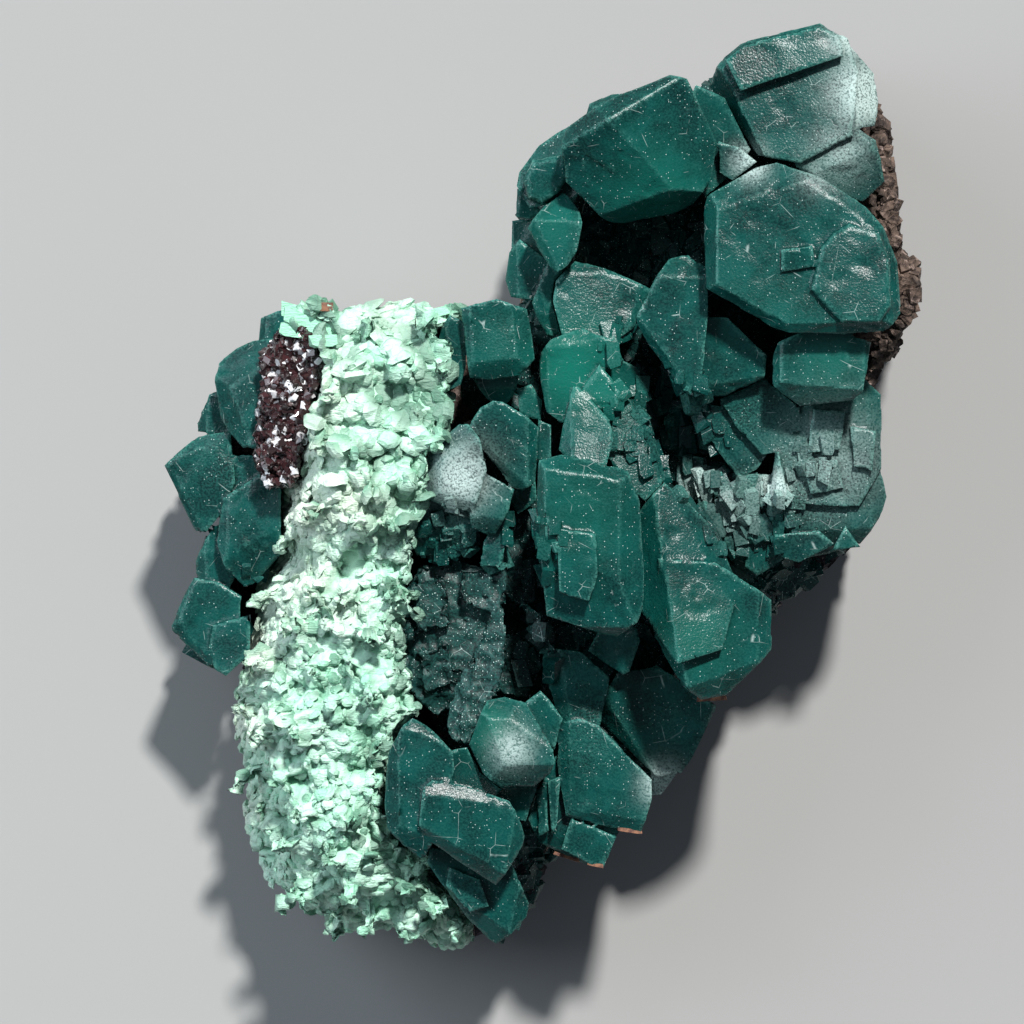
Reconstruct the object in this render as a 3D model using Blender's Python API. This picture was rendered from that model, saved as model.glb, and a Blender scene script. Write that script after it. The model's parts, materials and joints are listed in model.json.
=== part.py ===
"""A specimen of green apophyllite crystals with mint stilbite on host rock, lying on its back.

Places and sizes below are in millimetres, seen from above: X runs right, Y runs up the specimen and
Z rises from the cut back of the rock, which is the face that it rests on. The meshes are in metres.
"""

import itertools
import math
import random
from dataclasses import dataclass

import bmesh
import bpy
import numpy as np
from mathutils import Euler, Vector, noise
from mathutils.geometry import convex_hull_2d, delaunay_2d_cdt

METRES = 0.001

# Driving dimensions of the whole specimen.
PART_GAP = 0.35
ROCK_BED = 27.0
ROCK_EDGE = 21.0
ROCK_BENCH = 10.0
ROCK_FOOT_INSET = 9.0
CRYSTAL_FOOT = 20.0
RAISED_FOOT = ROCK_BED + 1.5
ROOTED_AREA = 130.0
SHORT_CRYSTAL = 5.0
LEFT_FOOT = ROCK_BENCH + PART_GAP
TALLEST = 75.0
WALL_UNDERCUT = 0.11
RIM_DROP = 1.0
CORNER_MERGE = 0.05
FLAT_ANGLE = 0.002

# The stilbite crust.
CRUST_FOOT = ROCK_BENCH + PART_GAP
CRUST_OVERHANG = 2.5
CRUST_UPPER_TOP = 48.0
CRUST_LOWER_TOP = 43.0
CRUST_TAIL_TOP = 35.0
CRUST_OVERHANG_LINE = -7.0
CRUST_LOWER_LENGTH = 66.0
CRUST_FALL = 2.2
LEDGE_DEPTH = 9.0
CRUST_GRID = 6.0
SCALE_SPACING = 6.8
SCALE_LENGTH = (4.0, 6.2)
SCALE_THICKNESS = 1.9
SCALE_LIFT = 24.0
SCALE_WIDTH = (0.62, 0.85)
SCALE_JITTER = 1.3
SCALE_SINK = 0.6
SCALE_RIM = ((1.0, 0.0), (0.5, 0.8), (-0.7, 0.7), (-0.7, -0.7), (0.5, -0.8))
SCALE_CREST = ((0.35, 0.35), (0.35, -0.35))
SCALE_ROOT = (-0.5, 1.4)

# The patch of tiny dark crystals.
DRUSE_TOP = 41.0
DRUSE_FOOT = ROCK_BENCH + PART_GAP
DRUSE_GRAIN = (1.3, 2.2)
DRUSE_SPACING = 2.9
DRUSE_SPREAD = 1.2
DRUSE_MIDDLE_X = 40.0
DRUSE_SLOPE = 0.7
DRUSE_PIT = ((-37.0, 21.5), 2.4, 4.5)

GREEN = (0.010, 0.105, 0.072, 1.0)
DARK_GREEN = (0.016, 0.050, 0.046, 1.0)
MINT = (0.42, 0.74, 0.58, 1.0)
DRUSE_RED = (0.075, 0.018, 0.018, 1.0)
ROCK_BROWN = (0.115, 0.078, 0.066, 1.0)


@dataclass(frozen=True)
class Facet:
    """A face that bends down from another one, past the line start to end, on the line's right."""

    start: tuple
    end: tuple
    drop: float
    bends_from: int = 0


@dataclass(frozen=True)
class Crystal:
    """A convex crystal: its outline from above, the height and slope of its main face, its facets."""

    outline: tuple
    height: float
    slope: tuple = (0.0, 0.0)
    facets: tuple = ()
    rim: float = 0.0
    foot: float = None

    def area(self):
        """The area inside the outline, from above."""
        ring = convex_outline(self.outline)
        return sum(a.x * b.y - a.y * b.x for a, b in zip(ring, ring[1:] + ring[:1])) / 2.0

    def rooted(self):
        """Whether the crystal grows from the rock itself: a small one sits on its neighbours."""
        if self.foot is not None:
            return self.foot < RAISED_FOOT
        return self.area() > ROOTED_AREA or self.height < RAISED_FOOT + SHORT_CRYSTAL

    def foot_level(self):
        """The level of the crystal's flat lower end."""
        if self.foot is not None:
            return self.foot
        return CRYSTAL_FOOT if self.rooted() else RAISED_FOOT


def convex_outline(points):
    """The points of the outline that lie on its convex hull, anticlockwise."""
    flat = [Vector(point) for point in points]
    ring = [flat[index] for index in convex_hull_2d(flat)]
    area = sum(a.x * b.y - a.y * b.x for a, b in zip(ring, ring[1:] + ring[:1]))
    return ring if area > 0 else ring[::-1]


def crystal_planes(crystal, growth=0.0):
    """Planes as normal and reach: the crystal is every point that lies behind all of them."""
    ring = convex_outline(crystal.outline)
    centre = sum(ring, Vector((0.0, 0.0))) / len(ring)
    rise_x, rise_y = crystal.slope
    level = crystal.height - rise_x * centre.x - rise_y * centre.y
    faces = [(rise_x, rise_y, level)]
    for facet in crystal.facets:
        along = Vector(facet.end) - Vector(facet.start)
        right = Vector((along.y, -along.x)).normalized()
        parent_x, parent_y, parent_level = faces[facet.bends_from]
        fall = right * facet.drop
        faces.append(
            (parent_x - fall.x, parent_y - fall.y, parent_level + fall.dot(Vector(facet.start)))
        )
    planes = [((-x, -y, 1.0), level) for x, y, level in faces]
    for start, end in zip(ring, ring[1:] + ring[:1]):
        out = Vector((end.y - start.y, start.x - end.x)).normalized()
        wall_reach = out.dot(start) - WALL_UNDERCUT * crystal.height
        planes.append(((out.x, out.y, -WALL_UNDERCUT), wall_reach))
        if crystal.rim:
            rim_line = out.dot(start) - crystal.rim
            planes.append(
                (
                    (out.x * RIM_DROP - rise_x, out.y * RIM_DROP - rise_y, 1.0),
                    level + RIM_DROP * rim_line,
                )
            )
    planes.append(((0.0, 0.0, -1.0), -crystal.foot_level()))
    normals = np.array([normal for normal, _ in planes])
    reaches = np.array([reach for _, reach in planes])
    lengths = np.linalg.norm(normals, axis=1)
    return normals / lengths[:, None], reaches / lengths + growth


def corners_behind(normals, reaches):
    """The corners of the convex body behind all the planes."""
    triples = np.array(list(itertools.combinations(range(len(reaches)), 3)))
    sides = normals[triples]
    solvable = np.abs(np.linalg.det(sides)) > 1e-4
    sides = sides[solvable]
    wanted = reaches[triples[solvable]]
    points = np.linalg.solve(sides, wanted[:, :, None])[:, :, 0]
    inside = (points @ normals.T <= reaches + 1e-6).all(axis=1)
    kept = []
    for point in points[inside]:
        if all(np.linalg.norm(point - other) > CORNER_MERGE for other in kept):
            kept.append(point)
    return kept


def new_object(name, mesh):
    """An object of the mesh, in the scene."""
    made = bpy.data.objects.new(name, mesh)
    bpy.context.collection.objects.link(made)
    return made


def hull_object(name, points):
    """The convex body round the points, which are in millimetres."""
    mesh_maker = bmesh.new()
    for point in points:
        mesh_maker.verts.new(Vector(point) * METRES)
    hull = bmesh.ops.convex_hull(mesh_maker, input=mesh_maker.verts[:])
    spare = [item for item in hull["geom_interior"] if isinstance(item, bmesh.types.BMVert)]
    bmesh.ops.delete(mesh_maker, geom=spare, context="VERTS")
    bmesh.ops.recalc_face_normals(mesh_maker, faces=mesh_maker.faces[:])
    mesh = bpy.data.meshes.new(name)
    mesh_maker.to_mesh(mesh)
    mesh_maker.free()
    return new_object(name, mesh)


def crystal_object(name, crystal, growth=0.0):
    """One crystal as an object, its faces moved out by the growth."""
    return hull_object(name, corners_behind(*crystal_planes(crystal, growth)))


def boolean(target, other, operation):
    """Adds a Boolean modifier that joins the other object to the target or cuts it away."""
    modifier = target.modifiers.new(operation, "BOOLEAN")
    modifier.operation = operation
    modifier.object = other


def baked(target, helpers):
    """The target with its modifiers made into its mesh, the helper objects removed."""
    evaluated = target.evaluated_get(bpy.context.evaluated_depsgraph_get())
    mesh = bpy.data.meshes.new_from_object(evaluated)
    target.modifiers.clear()
    target.data = mesh
    for helper in helpers:
        bpy.data.objects.remove(helper)
    return target


def joined(bodies):
    """All the bodies as one solid, in the first one's object."""
    first, *others = bodies
    for other in others:
        boolean(first, other, "UNION")
    return baked(first, others)


def cut(target, cutters):
    """The target less all the cutters, which are used up."""
    for cutter in cutters:
        boolean(target, cutter, "DIFFERENCE")
    return baked(target, cutters)


def keep_largest_body(target):
    """Removes the crumbs that a cut leaves loose, so the object is one body."""
    mesh_maker = bmesh.new()
    mesh_maker.from_mesh(target.data)
    bmesh.ops.remove_doubles(mesh_maker, verts=mesh_maker.verts, dist=CORNER_MERGE * METRES / 5)
    unseen = set(mesh_maker.verts)
    bodies = []
    while unseen:
        body = set()
        edge_of_body = [unseen.pop()]
        while edge_of_body:
            vert = edge_of_body.pop()
            body.add(vert)
            near = {edge.other_vert(vert) for edge in vert.link_edges} & unseen
            unseen -= near
            edge_of_body.extend(near)
        bodies.append(body)
    bodies.sort(key=len)
    crumbs = [vert for body in bodies[:-1] for vert in body]
    bmesh.ops.delete(mesh_maker, geom=crumbs, context="VERTS")
    bmesh.ops.dissolve_limit(
        mesh_maker, angle_limit=FLAT_ANGLE, verts=mesh_maker.verts[:], edges=mesh_maker.edges[:]
    )
    bmesh.ops.triangulate(mesh_maker, faces=mesh_maker.faces[:])
    mesh_maker.to_mesh(target.data)
    mesh_maker.free()
    return target


def those_near(crystals, box):
    """The crystals whose boxes from above touch the box."""
    return [crystal for crystal in crystals if near_each_other(reach_of(crystal), box)]


def reach_of(crystal):
    """The crystal's box from above, with room for the gap."""
    xs = [point[0] for point in crystal.outline]
    ys = [point[1] for point in crystal.outline]
    return min(xs) - PART_GAP, min(ys) - PART_GAP, max(xs) + PART_GAP, max(ys) + PART_GAP


def near_each_other(first, second):
    """Whether two boxes from above touch."""
    beside = first[0] < second[2] and second[0] < first[2]
    return beside and first[1] < second[3] and second[1] < first[3]


def grown_copies(crystals):
    """Cutters: a copy of each crystal, grown by the gap."""
    return [crystal_object("cutter", crystal, PART_GAP) for crystal in crystals]


def finish(target, name, material):
    """Names the finished object and gives it its material."""
    target.name = name
    target.data.name = name
    target.data.materials.clear()
    target.data.materials.append(material)
    return target


def principled(name, colour, roughness, transmission=0.0):
    """A Principled material."""
    material = bpy.data.materials.new(name)
    material.use_nodes = True
    shader = material.node_tree.nodes["Principled BSDF"]
    shader.inputs["Base Color"].default_value = colour
    shader.inputs["Roughness"].default_value = roughness
    shader.inputs["Metallic"].default_value = 0.0
    shader.inputs["Transmission Weight"].default_value = transmission
    material.diffuse_color = colour
    return material


def tower_crystals():
    """The upright prism in the centre with its raised panel, and the wing at its right."""
    prism = Crystal(
        outline=(
            (-0.7, 5.5), (3.0, 6.6), (8.5, 5.2), (13.4, 3.9), (15.4, -0.8), (16.2, -11.3),
            (16.2, -17.7), (15.2, -19.8), (11.6, -22.8), (4.0, -20.4), (0.2, -19.2), (-1.0, -1.1),
        ),
        height=59.0,
        slope=(0.02, 0.03),
        facets=(
            Facet((12.0, -15.0), (12.0, 3.5), 0.55),
            Facet((9.3, -11.9), (14.6, -15.2), 0.35),
            Facet((-0.1, -17.2), (13.0, -19.0), 1.3),
            Facet((13.0, 2.2), (-0.9, 4.2), 0.9),
            Facet((0.4, 4.0), (0.6, -17.0), 1.5),
        ),
    )
    panel = Crystal(
        outline=((2.2, -5.0), (2.6, -15.4), (7.4, -16.6), (8.6, -12.5), (8.4, -6.0)),
        height=59.6,
        slope=(0.02, 0.03),
        foot=50.0,
    )
    wing_blade = Crystal(
        outline=(
            (19.1, 2.2), (22.9, -0.8), (26.6, -4.5), (29.3, -9.8), (31.0, -14.0), (28.0, -24.0),
            (21.0, -26.0), (13.4, -16.0), (12.6, -5.5), (15.6, -1.4),
        ),
        height=51.0,
        slope=(-0.20, -0.12),
        facets=(Facet((17.6, -2.0), (20.4, -20.0), 1.2), Facet((27.0, -12.0), (20.0, 1.0), 0.5)),
    )
    wing_block = Crystal(
        outline=(
            (18.2, -10.0), (27.0, -10.5), (31.0, -13.3), (36.2, -16.1), (36.2, -24.2),
            (32.4, -27.5), (29.1, -31.6), (24.8, -32.2), (21.8, -29.7), (17.2, -22.3),
        ),
        height=50.0,
        slope=(-0.14, 0.06),
        facets=(
            Facet((18.7, -11.3), (22.6, -29.5), 1.3),
            Facet((21.0, -30.6), (33.0, -26.0), 0.8),
            Facet((33.6, -25.0), (33.8, -15.0), 0.7),
        ),
    )
    return prism, panel, wing_blade, wing_block


def great_crystals():
    """The great bevelled block, the crystal set in its corner, and the crystals grown below it."""
    block = Crystal(
        outline=(
            (24.6, 44.0), (25.4, 46.6), (33.2, 51.2), (36.5, 52.0), (43.5, 49.5), (50.5, 44.8),
            (53.2, 41.6), (55.5, 36.2), (56.0, 28.0), (53.4, 25.2), (47.4, 24.6), (38.4, 25.0),
            (35.7, 25.8), (30.9, 28.9), (25.2, 31.9),
        ),
        height=54.5,
        slope=(0.03, -0.03),
        facets=(
            Facet((42.8, 49.4), (24.8, 43.6), 0.55),
            Facet((27.2, 44.0), (27.0, 32.3), 1.5),
            Facet((26.0, 33.4), (37.6, 26.8), 1.2),
            Facet((53.6, 27.0), (52.2, 41.0), 0.8),
            Facet((53.0, 40.0), (43.0, 47.8), 0.55),
            Facet((37.0, 26.6), (53.0, 27.0), 0.9),
        ),
    )
    corner = Crystal(
        outline=(
            (47.6, 42.3), (52.4, 40.8), (54.0, 36.2), (54.2, 29.2), (52.4, 26.6), (46.4, 26.6),
            (41.5, 31.8), (43.0, 38.1), (44.5, 40.2),
        ),
        height=55.6,
        slope=(-0.02, -0.08),
        rim=0.5,
        foot=44.0,
    )
    window = Crystal(
        outline=((37.0, 38.0), (41.9, 38.7), (42.4, 35.3), (37.0, 34.4)),
        height=55.3,
        slope=(0.03, 0.10),
        foot=44.0,
    )
    lower_block = Crystal(
        outline=(
            (40.5, 25.4), (43.5, 26.2), (51.6, 24.0), (51.2, 21.1), (50.1, 15.9), (48.4, 14.4),
            (43.5, 13.8), (40.2, 13.3), (37.1, 15.6), (35.5, 17.2), (35.9, 22.0), (36.8, 23.9),
        ),
        height=49.0,
        slope=(0.04, 0.02),
        facets=(
            Facet((36.6, 17.6), (49.6, 16.4), 0.9),
            Facet((37.4, 24.0), (37.0, 16.0), 1.0),
            Facet((50.2, 17.0), (50.4, 24.0), 0.8),
        ),
    )
    upper_facet_block = Crystal(
        outline=(
            (22.9, 37.8), (19.8, 37.0), (17.7, 33.9), (14.6, 27.7), (14.6, 26.6), (16.6, 23.1),
            (19.9, 20.2), (22.0, 16.4), (24.8, 16.1), (26.0, 28.3), (26.0, 35.5),
        ),
        height=46.5,
        slope=(0.12, 0.02),
        facets=(
            Facet((25.5, 34.0), (17.5, 34.0), 0.6),
            Facet((15.4, 27.4), (23.4, 16.4), 0.9),
            Facet((20.0, 37.0), (14.8, 28.0), 0.7),
        ),
    )
    middle_block = Crystal(
        outline=(
            (24.6, 27.9), (29.1, 27.7), (31.3, 24.3), (35.2, 21.8), (34.9, 18.3), (32.6, 17.0),
            (28.7, 15.2), (25.5, 15.2), (24.4, 16.4), (22.7, 21.9), (22.4, 25.8),
        ),
        height=44.0,
        slope=(0.02, 0.10),
        facets=(Facet((24.6, 17.0), (34.0, 18.6), 0.8), Facet((24.6, 27.0), (24.2, 17.0), 0.7)),
    )
    return block, corner, window, lower_block, upper_facet_block, middle_block


def shoulder_crystals():
    """The large four-faced crystal at the top, its right-hand extension and its left-hand lobes."""
    roof = Crystal(
        outline=(
            (3.2, 48.4), (2.7, 54.6), (3.4, 57.2), (10.9, 61.7), (19.9, 65.3), (22.6, 64.6),
            (25.1, 60.0), (27.9, 54.8), (27.1, 49.2), (24.1, 44.5), (21.0, 43.0), (13.4, 41.2),
            (10.7, 41.4), (9.0, 42.3), (4.6, 47.0),
        ),
        height=54.5,
        slope=(-0.30, 0.10),
        facets=(
            Facet((10.2, 58.1), (20.2, 47.6), 0.75),
            Facet((7.9, 43.1), (19.9, 47.3), 1.2, 1),
            Facet((10.2, 58.1), (3.0, 53.8), 1.3, 1),
            Facet((20.6, 64.4), (10.2, 58.1), 1.2),
            Facet((24.8, 48.6), (24.6, 62.0), 0.5),
        ),
    )
    right_extension = Crystal(
        outline=((24.0, 63.8), (28.7, 62.0), (32.9, 53.9), (30.2, 50.5), (25.5, 46.1), (21.0, 56.0)),
        height=47.0,
        slope=(-0.16, 0.06),
        facets=(Facet((32.0, 54.6), (27.6, 62.4), 0.8),),
    )
    step_crystal = Crystal(
        outline=((27.6, 55.0), (30.6, 54.0), (33.4, 51.8), (29.8, 48.8), (27.4, 50.0)),
        height=49.6,
        slope=(0.20, 0.32),
    )
    left_lobe = Crystal(
        outline=(
            (-1.4, 52.6), (3.4, 53.1), (4.6, 50.0), (2.7, 47.0), (0.1, 45.4), (-2.3, 46.2), (-3.2, 49.2),
        ),
        height=44.5,
        slope=(0.20, 0.12),
        rim=0.7,
    )
    back_slope = Crystal(
        outline=(
            (-4.0, 48.4), (-3.6, 50.6), (-1.2, 53.0), (-0.5, 54.8), (2.7, 57.0), (6.8, 59.0),
            (9.0, 52.0), (5.0, 46.0), (-2.0, 45.0),
        ),
        height=41.0,
        slope=(0.20, -0.16),
    )
    back_lobe = Crystal(
        outline=((6.6, 58.6), (7.4, 61.4), (10.9, 63.0), (13.2, 63.2), (15.0, 61.4), (12.0, 57.0)),
        height=41.5,
        slope=(0.05, -0.10),
        rim=0.9,
    )
    side_sliver = Crystal(
        outline=((-4.0, 48.6), (-2.0, 46.6), (0.5, 44.4), (-1.6, 43.2), (-4.0, 43.6)),
        height=37.0,
    )
    return roof, right_extension, step_crystal, left_lobe, back_slope, back_lobe, side_sliver


def crown_crystals():
    """The tall blocky crystal at the top right with its step, its chipped corner and its pale knob."""
    block = Crystal(
        outline=(
            (25.2, 64.1), (28.0, 68.4), (31.0, 70.8), (43.5, 73.9), (47.9, 71.4), (49.6, 66.0),
            (48.6, 56.0), (40.4, 51.6), (33.7, 52.8), (30.2, 57.6),
        ),
        height=46.0,
        slope=(0.04, -0.10),
        facets=(Facet((29.8, 63.0), (34.6, 53.2), 2.0), Facet((31.0, 69.4), (26.2, 64.6), 1.2)),
        rim=0.4,
    )
    step = Crystal(
        outline=(
            (31.0, 63.0), (34.6, 65.4), (40.2, 67.6), (47.0, 68.4), (46.6, 71.6), (43.4, 73.2),
            (37.0, 71.6), (31.4, 70.2), (28.6, 67.8),
        ),
        height=47.4,
        slope=(0.02, -0.16),
        foot=36.0,
    )
    chipped_corner = Crystal(
        outline=((44.0, 72.6), (47.9, 71.2), (52.7, 66.3), (53.4, 61.4), (52.3, 57.6), (45.0, 57.0)),
        height=43.6,
        slope=(-0.10, -0.06),
        facets=(Facet((50.0, 58.0), (46.6, 71.0), 0.9), Facet((51.6, 61.0), (51.0, 68.0), 0.8)),
    )
    knob = Crystal(
        outline=(
            (39.3, 51.3), (41.5, 57.3), (44.6, 58.6), (49.0, 57.7), (52.3, 55.4), (52.9, 53.2),
            (54.2, 48.9), (50.6, 45.4), (48.1, 45.8), (43.5, 48.6),
        ),
        height=45.6,
        slope=(-0.04, 0.05),
        facets=(Facet((43.6, 50.6), (53.2, 54.6), 0.55),),
        rim=0.8,
    )
    return block, step, chipped_corner, knob


def centre_crystals():
    """The glowing crystal in the middle, the crystals round it and the frosted one above."""
    glowing = Crystal(
        outline=(
            (-0.5, 22.0), (1.2, 24.3), (6.3, 26.2), (11.2, 24.1), (11.3, 21.6), (9.0, 17.0),
            (5.5, 12.0), (2.9, 11.0), (0.5, 12.8), (-0.6, 19.0),
        ),
        height=45.5,
        slope=(0.06, 0.10),
        facets=(Facet((10.4, 24.6), (0.2, 23.0), 0.6), Facet((0.8, 23.0), (1.2, 12.6), 0.7)),
    )
    small_gem = Crystal(
        outline=(
            (9.0, 20.6), (10.1, 19.4), (12.6, 15.9), (11.8, 13.3), (10.4, 12.0), (8.7, 12.0),
            (7.1, 14.2), (6.2, 16.9),
        ),
        height=48.5,
        slope=(0.16, -0.05),
        facets=(Facet((7.4, 15.0), (11.4, 14.4), 0.6),),
        rim=0.4,
    )
    point = Crystal(
        outline=(
            (4.8, 17.2), (6.0, 16.9), (7.9, 12.7), (10.7, 11.7), (11.2, 8.6), (10.0, 4.6),
            (4.8, 4.6), (2.4, 7.0), (3.0, 10.8),
        ),
        height=49.5,
        slope=(0.0, -0.22),
        facets=(Facet((4.4, 16.0), (4.6, 5.0), 0.7),),
    )
    side_point = Crystal(
        outline=(
            (10.6, 13.0), (13.8, 13.8), (15.4, 13.1), (17.1, 9.7), (18.9, 6.1), (19.5, 2.5),
            (17.1, -1.6), (12.6, 2.0), (10.4, 6.0),
        ),
        height=46.5,
        slope=(-0.14, -0.12),
        facets=(Facet((18.0, 4.0), (14.6, 13.0), 0.6),),
    )
    dark_wall = Crystal(
        outline=((8.6, 23.0), (15.4, 20.0), (16.6, 14.8), (13.8, 11.0), (8.6, 14.0)),
        height=37.0,
        slope=(-0.10, 0.20),
    )
    frosted = Crystal(
        outline=(
            (5.2, 36.9), (10.7, 35.4), (14.1, 33.4), (17.8, 32.2), (16.8, 29.6), (14.4, 26.0),
            (11.5, 24.0), (3.4, 24.6), (1.8, 30.3), (2.2, 33.6),
        ),
        height=42.0,
        slope=(-0.06, -0.08),
        facets=(Facet((14.6, 34.0), (4.0, 35.0), 0.5), Facet((13.0, 24.4), (15.6, 33.0), 0.6)),
    )
    hollow_crystals = (
        Crystal(((19.6, 11.6), (22.4, 12.4), (26.4, 8.6), (23.0, 5.4), (20.4, 7.4)), 30.5, (0.1, 0.2)),
        Crystal(((12.6, 16.8), (20.4, 15.6), (21.4, 10.6), (13.4, 9.6)), 28.0, (-0.2, 0.1)),
        Crystal(((21.6, 6.8), (25.6, 5.8), (26.0, 0.2), (22.6, -0.4)), 31.0, (0.2, 0.2)),
        Crystal(((19.0, 22.0), (24.8, 20.0), (25.6, 13.0), (18.6, 12.4)), 31.0, (0.2, 0.3)),
    )
    return (glowing, small_gem, point, side_point, dark_wall, frosted) + hollow_crystals


def ridge_crystals():
    """The crystals on the left of the middle, along the edge of the crust."""
    brow = Crystal(
        outline=(
            (-12.7, 29.2), (-7.0, 30.5), (-2.1, 29.1), (-1.2, 24.8), (-0.7, 21.1), (-3.2, 18.3),
            (-7.9, 17.6), (-11.4, 18.0), (-12.3, 26.3),
        ),
        height=49.5,
        slope=(0.03, 0.06),
        facets=(
            Facet((-3.8, 18.8), (-4.6, 30.0), 0.6),
            Facet((-11.6, 20.6), (-3.6, 21.4), 0.7),
            Facet((-11.2, 28.6), (-10.6, 19.0), 0.7),
        ),
    )
    brow_foot = Crystal(
        outline=((-11.2, 18.6), (-4.4, 20.0), (-3.6, 18.1), (-4.3, 15.4), (-6.2, 13.0), (-8.7, 15.0)),
        height=41.5,
        slope=(0.10, 0.05),
        facets=(Facet((-10.4, 16.6), (-4.0, 16.8), 0.5),),
    )
    side_finger = Crystal(
        outline=(
            (-14.3, 28.2), (-11.8, 26.8), (-11.8, 20.0), (-12.6, 17.2), (-14.5, 16.2),
            (-16.8, 17.3), (-16.9, 20.0), (-16.4, 24.1), (-15.6, 26.4),
        ),
        height=45.5,
        slope=(0.12, 0.04),
        facets=(Facet((-15.0, 27.0), (-15.2, 17.0), 0.8),),
    )
    mid_block = Crystal(
        outline=(
            (-7.6, 14.8), (-6.0, 14.6), (-2.0, 12.1), (-0.2, 10.5), (-0.8, 2.0), (-3.0, 0.2),
            (-5.0, 1.0), (-7.5, 5.8), (-9.9, 7.6), (-11.4, 10.9), (-9.6, 13.6),
        ),
        height=45.5,
        slope=(0.04, 0.04),
        facets=(Facet((-9.6, 8.8), (-3.2, 2.4), 0.8), Facet((-2.2, 3.0), (-2.0, 11.6), 0.7)),
    )
    sliver = Crystal(((-0.6, 12.0), (1.6, 11.0), (1.6, 6.0), (-0.4, 5.0)), 43.0, (0.2, 0.0))
    small_wedge = Crystal(((-3.9, 16.6), (-1.6, 17.4), (0.2, 14.8), (0.0, 11.4), (-3.4, 12.6)), 41.0)
    mirror = Crystal(
        outline=(
            (-18.9, 5.6), (-16.8, 7.4), (-14.5, 9.9), (-12.9, 11.2), (-11.4, 11.2), (-9.6, 8.8),
            (-8.4, 3.8), (-10.6, 0.4), (-10.6, -3.3), (-16.2, -1.8), (-19.0, -0.4),
        ),
        height=49.0,
        slope=(0.10, 0.16),
        facets=(
            Facet((-10.1, 8.6), (-15.5, 5.5), 0.65),
            Facet((-15.5, 5.5), (-16.2, 0.2), 1.1),
            Facet((-15.6, 0.2), (-10.4, -1.2), 0.7),
        ),
    )
    rough_front = Crystal(
        outline=(
            (-21.4, -2.0), (-16.2, 0.6), (-10.4, -2.0), (-10.4, -7.8), (-13.2, -10.0),
            (-19.8, -10.0), (-21.6, -6.0),
        ),
        height=42.5,
        slope=(0.03, 0.22),
        facets=(Facet((-20.4, -4.0), (-12.0, -5.2), 0.5),),
    )
    near_block = Crystal(
        outline=(
            (-10.2, 2.0), (-8.5, 3.3), (-4.1, 0.9), (-5.0, -2.2), (-7.0, -6.5), (-8.7, -6.5),
            (-11.2, -5.3), (-11.4, -0.8),
        ),
        height=47.5,
        slope=(0.05, 0.14),
        facets=(Facet((-10.6, -3.4), (-6.0, -3.6), 0.6),),
    )
    pale_blade = Crystal(
        outline=((-9.2, -7.2), (-6.2, -2.8), (-4.8, -3.2), (-6.3, -11.4), (-9.7, -11.2)),
        height=43.5,
        slope=(0.30, 0.05),
    )
    nugget = Crystal(((-5.4, 0.2), (-1.0, 2.2), (-0.6, -1.1), (-3.8, -3.2)), 40.0, (0.1, 0.2))
    return (
        brow, brow_foot, side_finger, mid_block, sliver, small_wedge,
        mirror, rough_front, near_block, pale_blade, nugget,
    )


def corner_crystals():
    """The small crystals under the shoulder's left side."""
    gem = Crystal(
        outline=(
            (2.9, 48.1), (4.5, 46.9), (6.0, 44.3), (6.3, 42.3), (5.5, 38.1), (4.1, 35.8),
            (2.3, 34.5), (1.2, 35.5), (-1.2, 39.2), (-2.6, 41.6), (-1.0, 43.9), (1.8, 47.5),
        ),
        height=46.0,
        slope=(0.14, 0.02),
        facets=(Facet((6.4, 42.6), (-1.6, 43.0), 0.7), Facet((-1.0, 42.6), (2.6, 35.4), 0.6)),
    )
    outer = Crystal(
        outline=((-3.4, 40.2), (-5.2, 38.2), (-5.9, 33.8), (-4.9, 31.0), (-1.4, 30.6), (2.0, 36.0)),
        height=36.0,
        slope=(0.10, 0.05),
        facets=(Facet((-4.0, 38.6), (-3.6, 31.2), 0.7),),
    )
    lower = Crystal(
        outline=(
            (1.0, 36.6), (-1.7, 30.2), (-0.7, 27.3), (1.0, 24.8), (3.2, 25.0), (4.8, 29.0), (4.0, 36.6),
        ),
        height=39.5,
        slope=(0.10, 0.08),
        facets=(Facet((0.0, 31.6), (1.6, 25.4), 0.6),),
    )
    back = Crystal(
        outline=((-5.0, 37.0), (-4.8, 43.4), (-1.0, 44.0), (3.0, 40.0), (0.0, 33.0)),
        height=33.5,
        slope=(0.20, 0.0),
    )
    return gem, outer, lower, back


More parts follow.
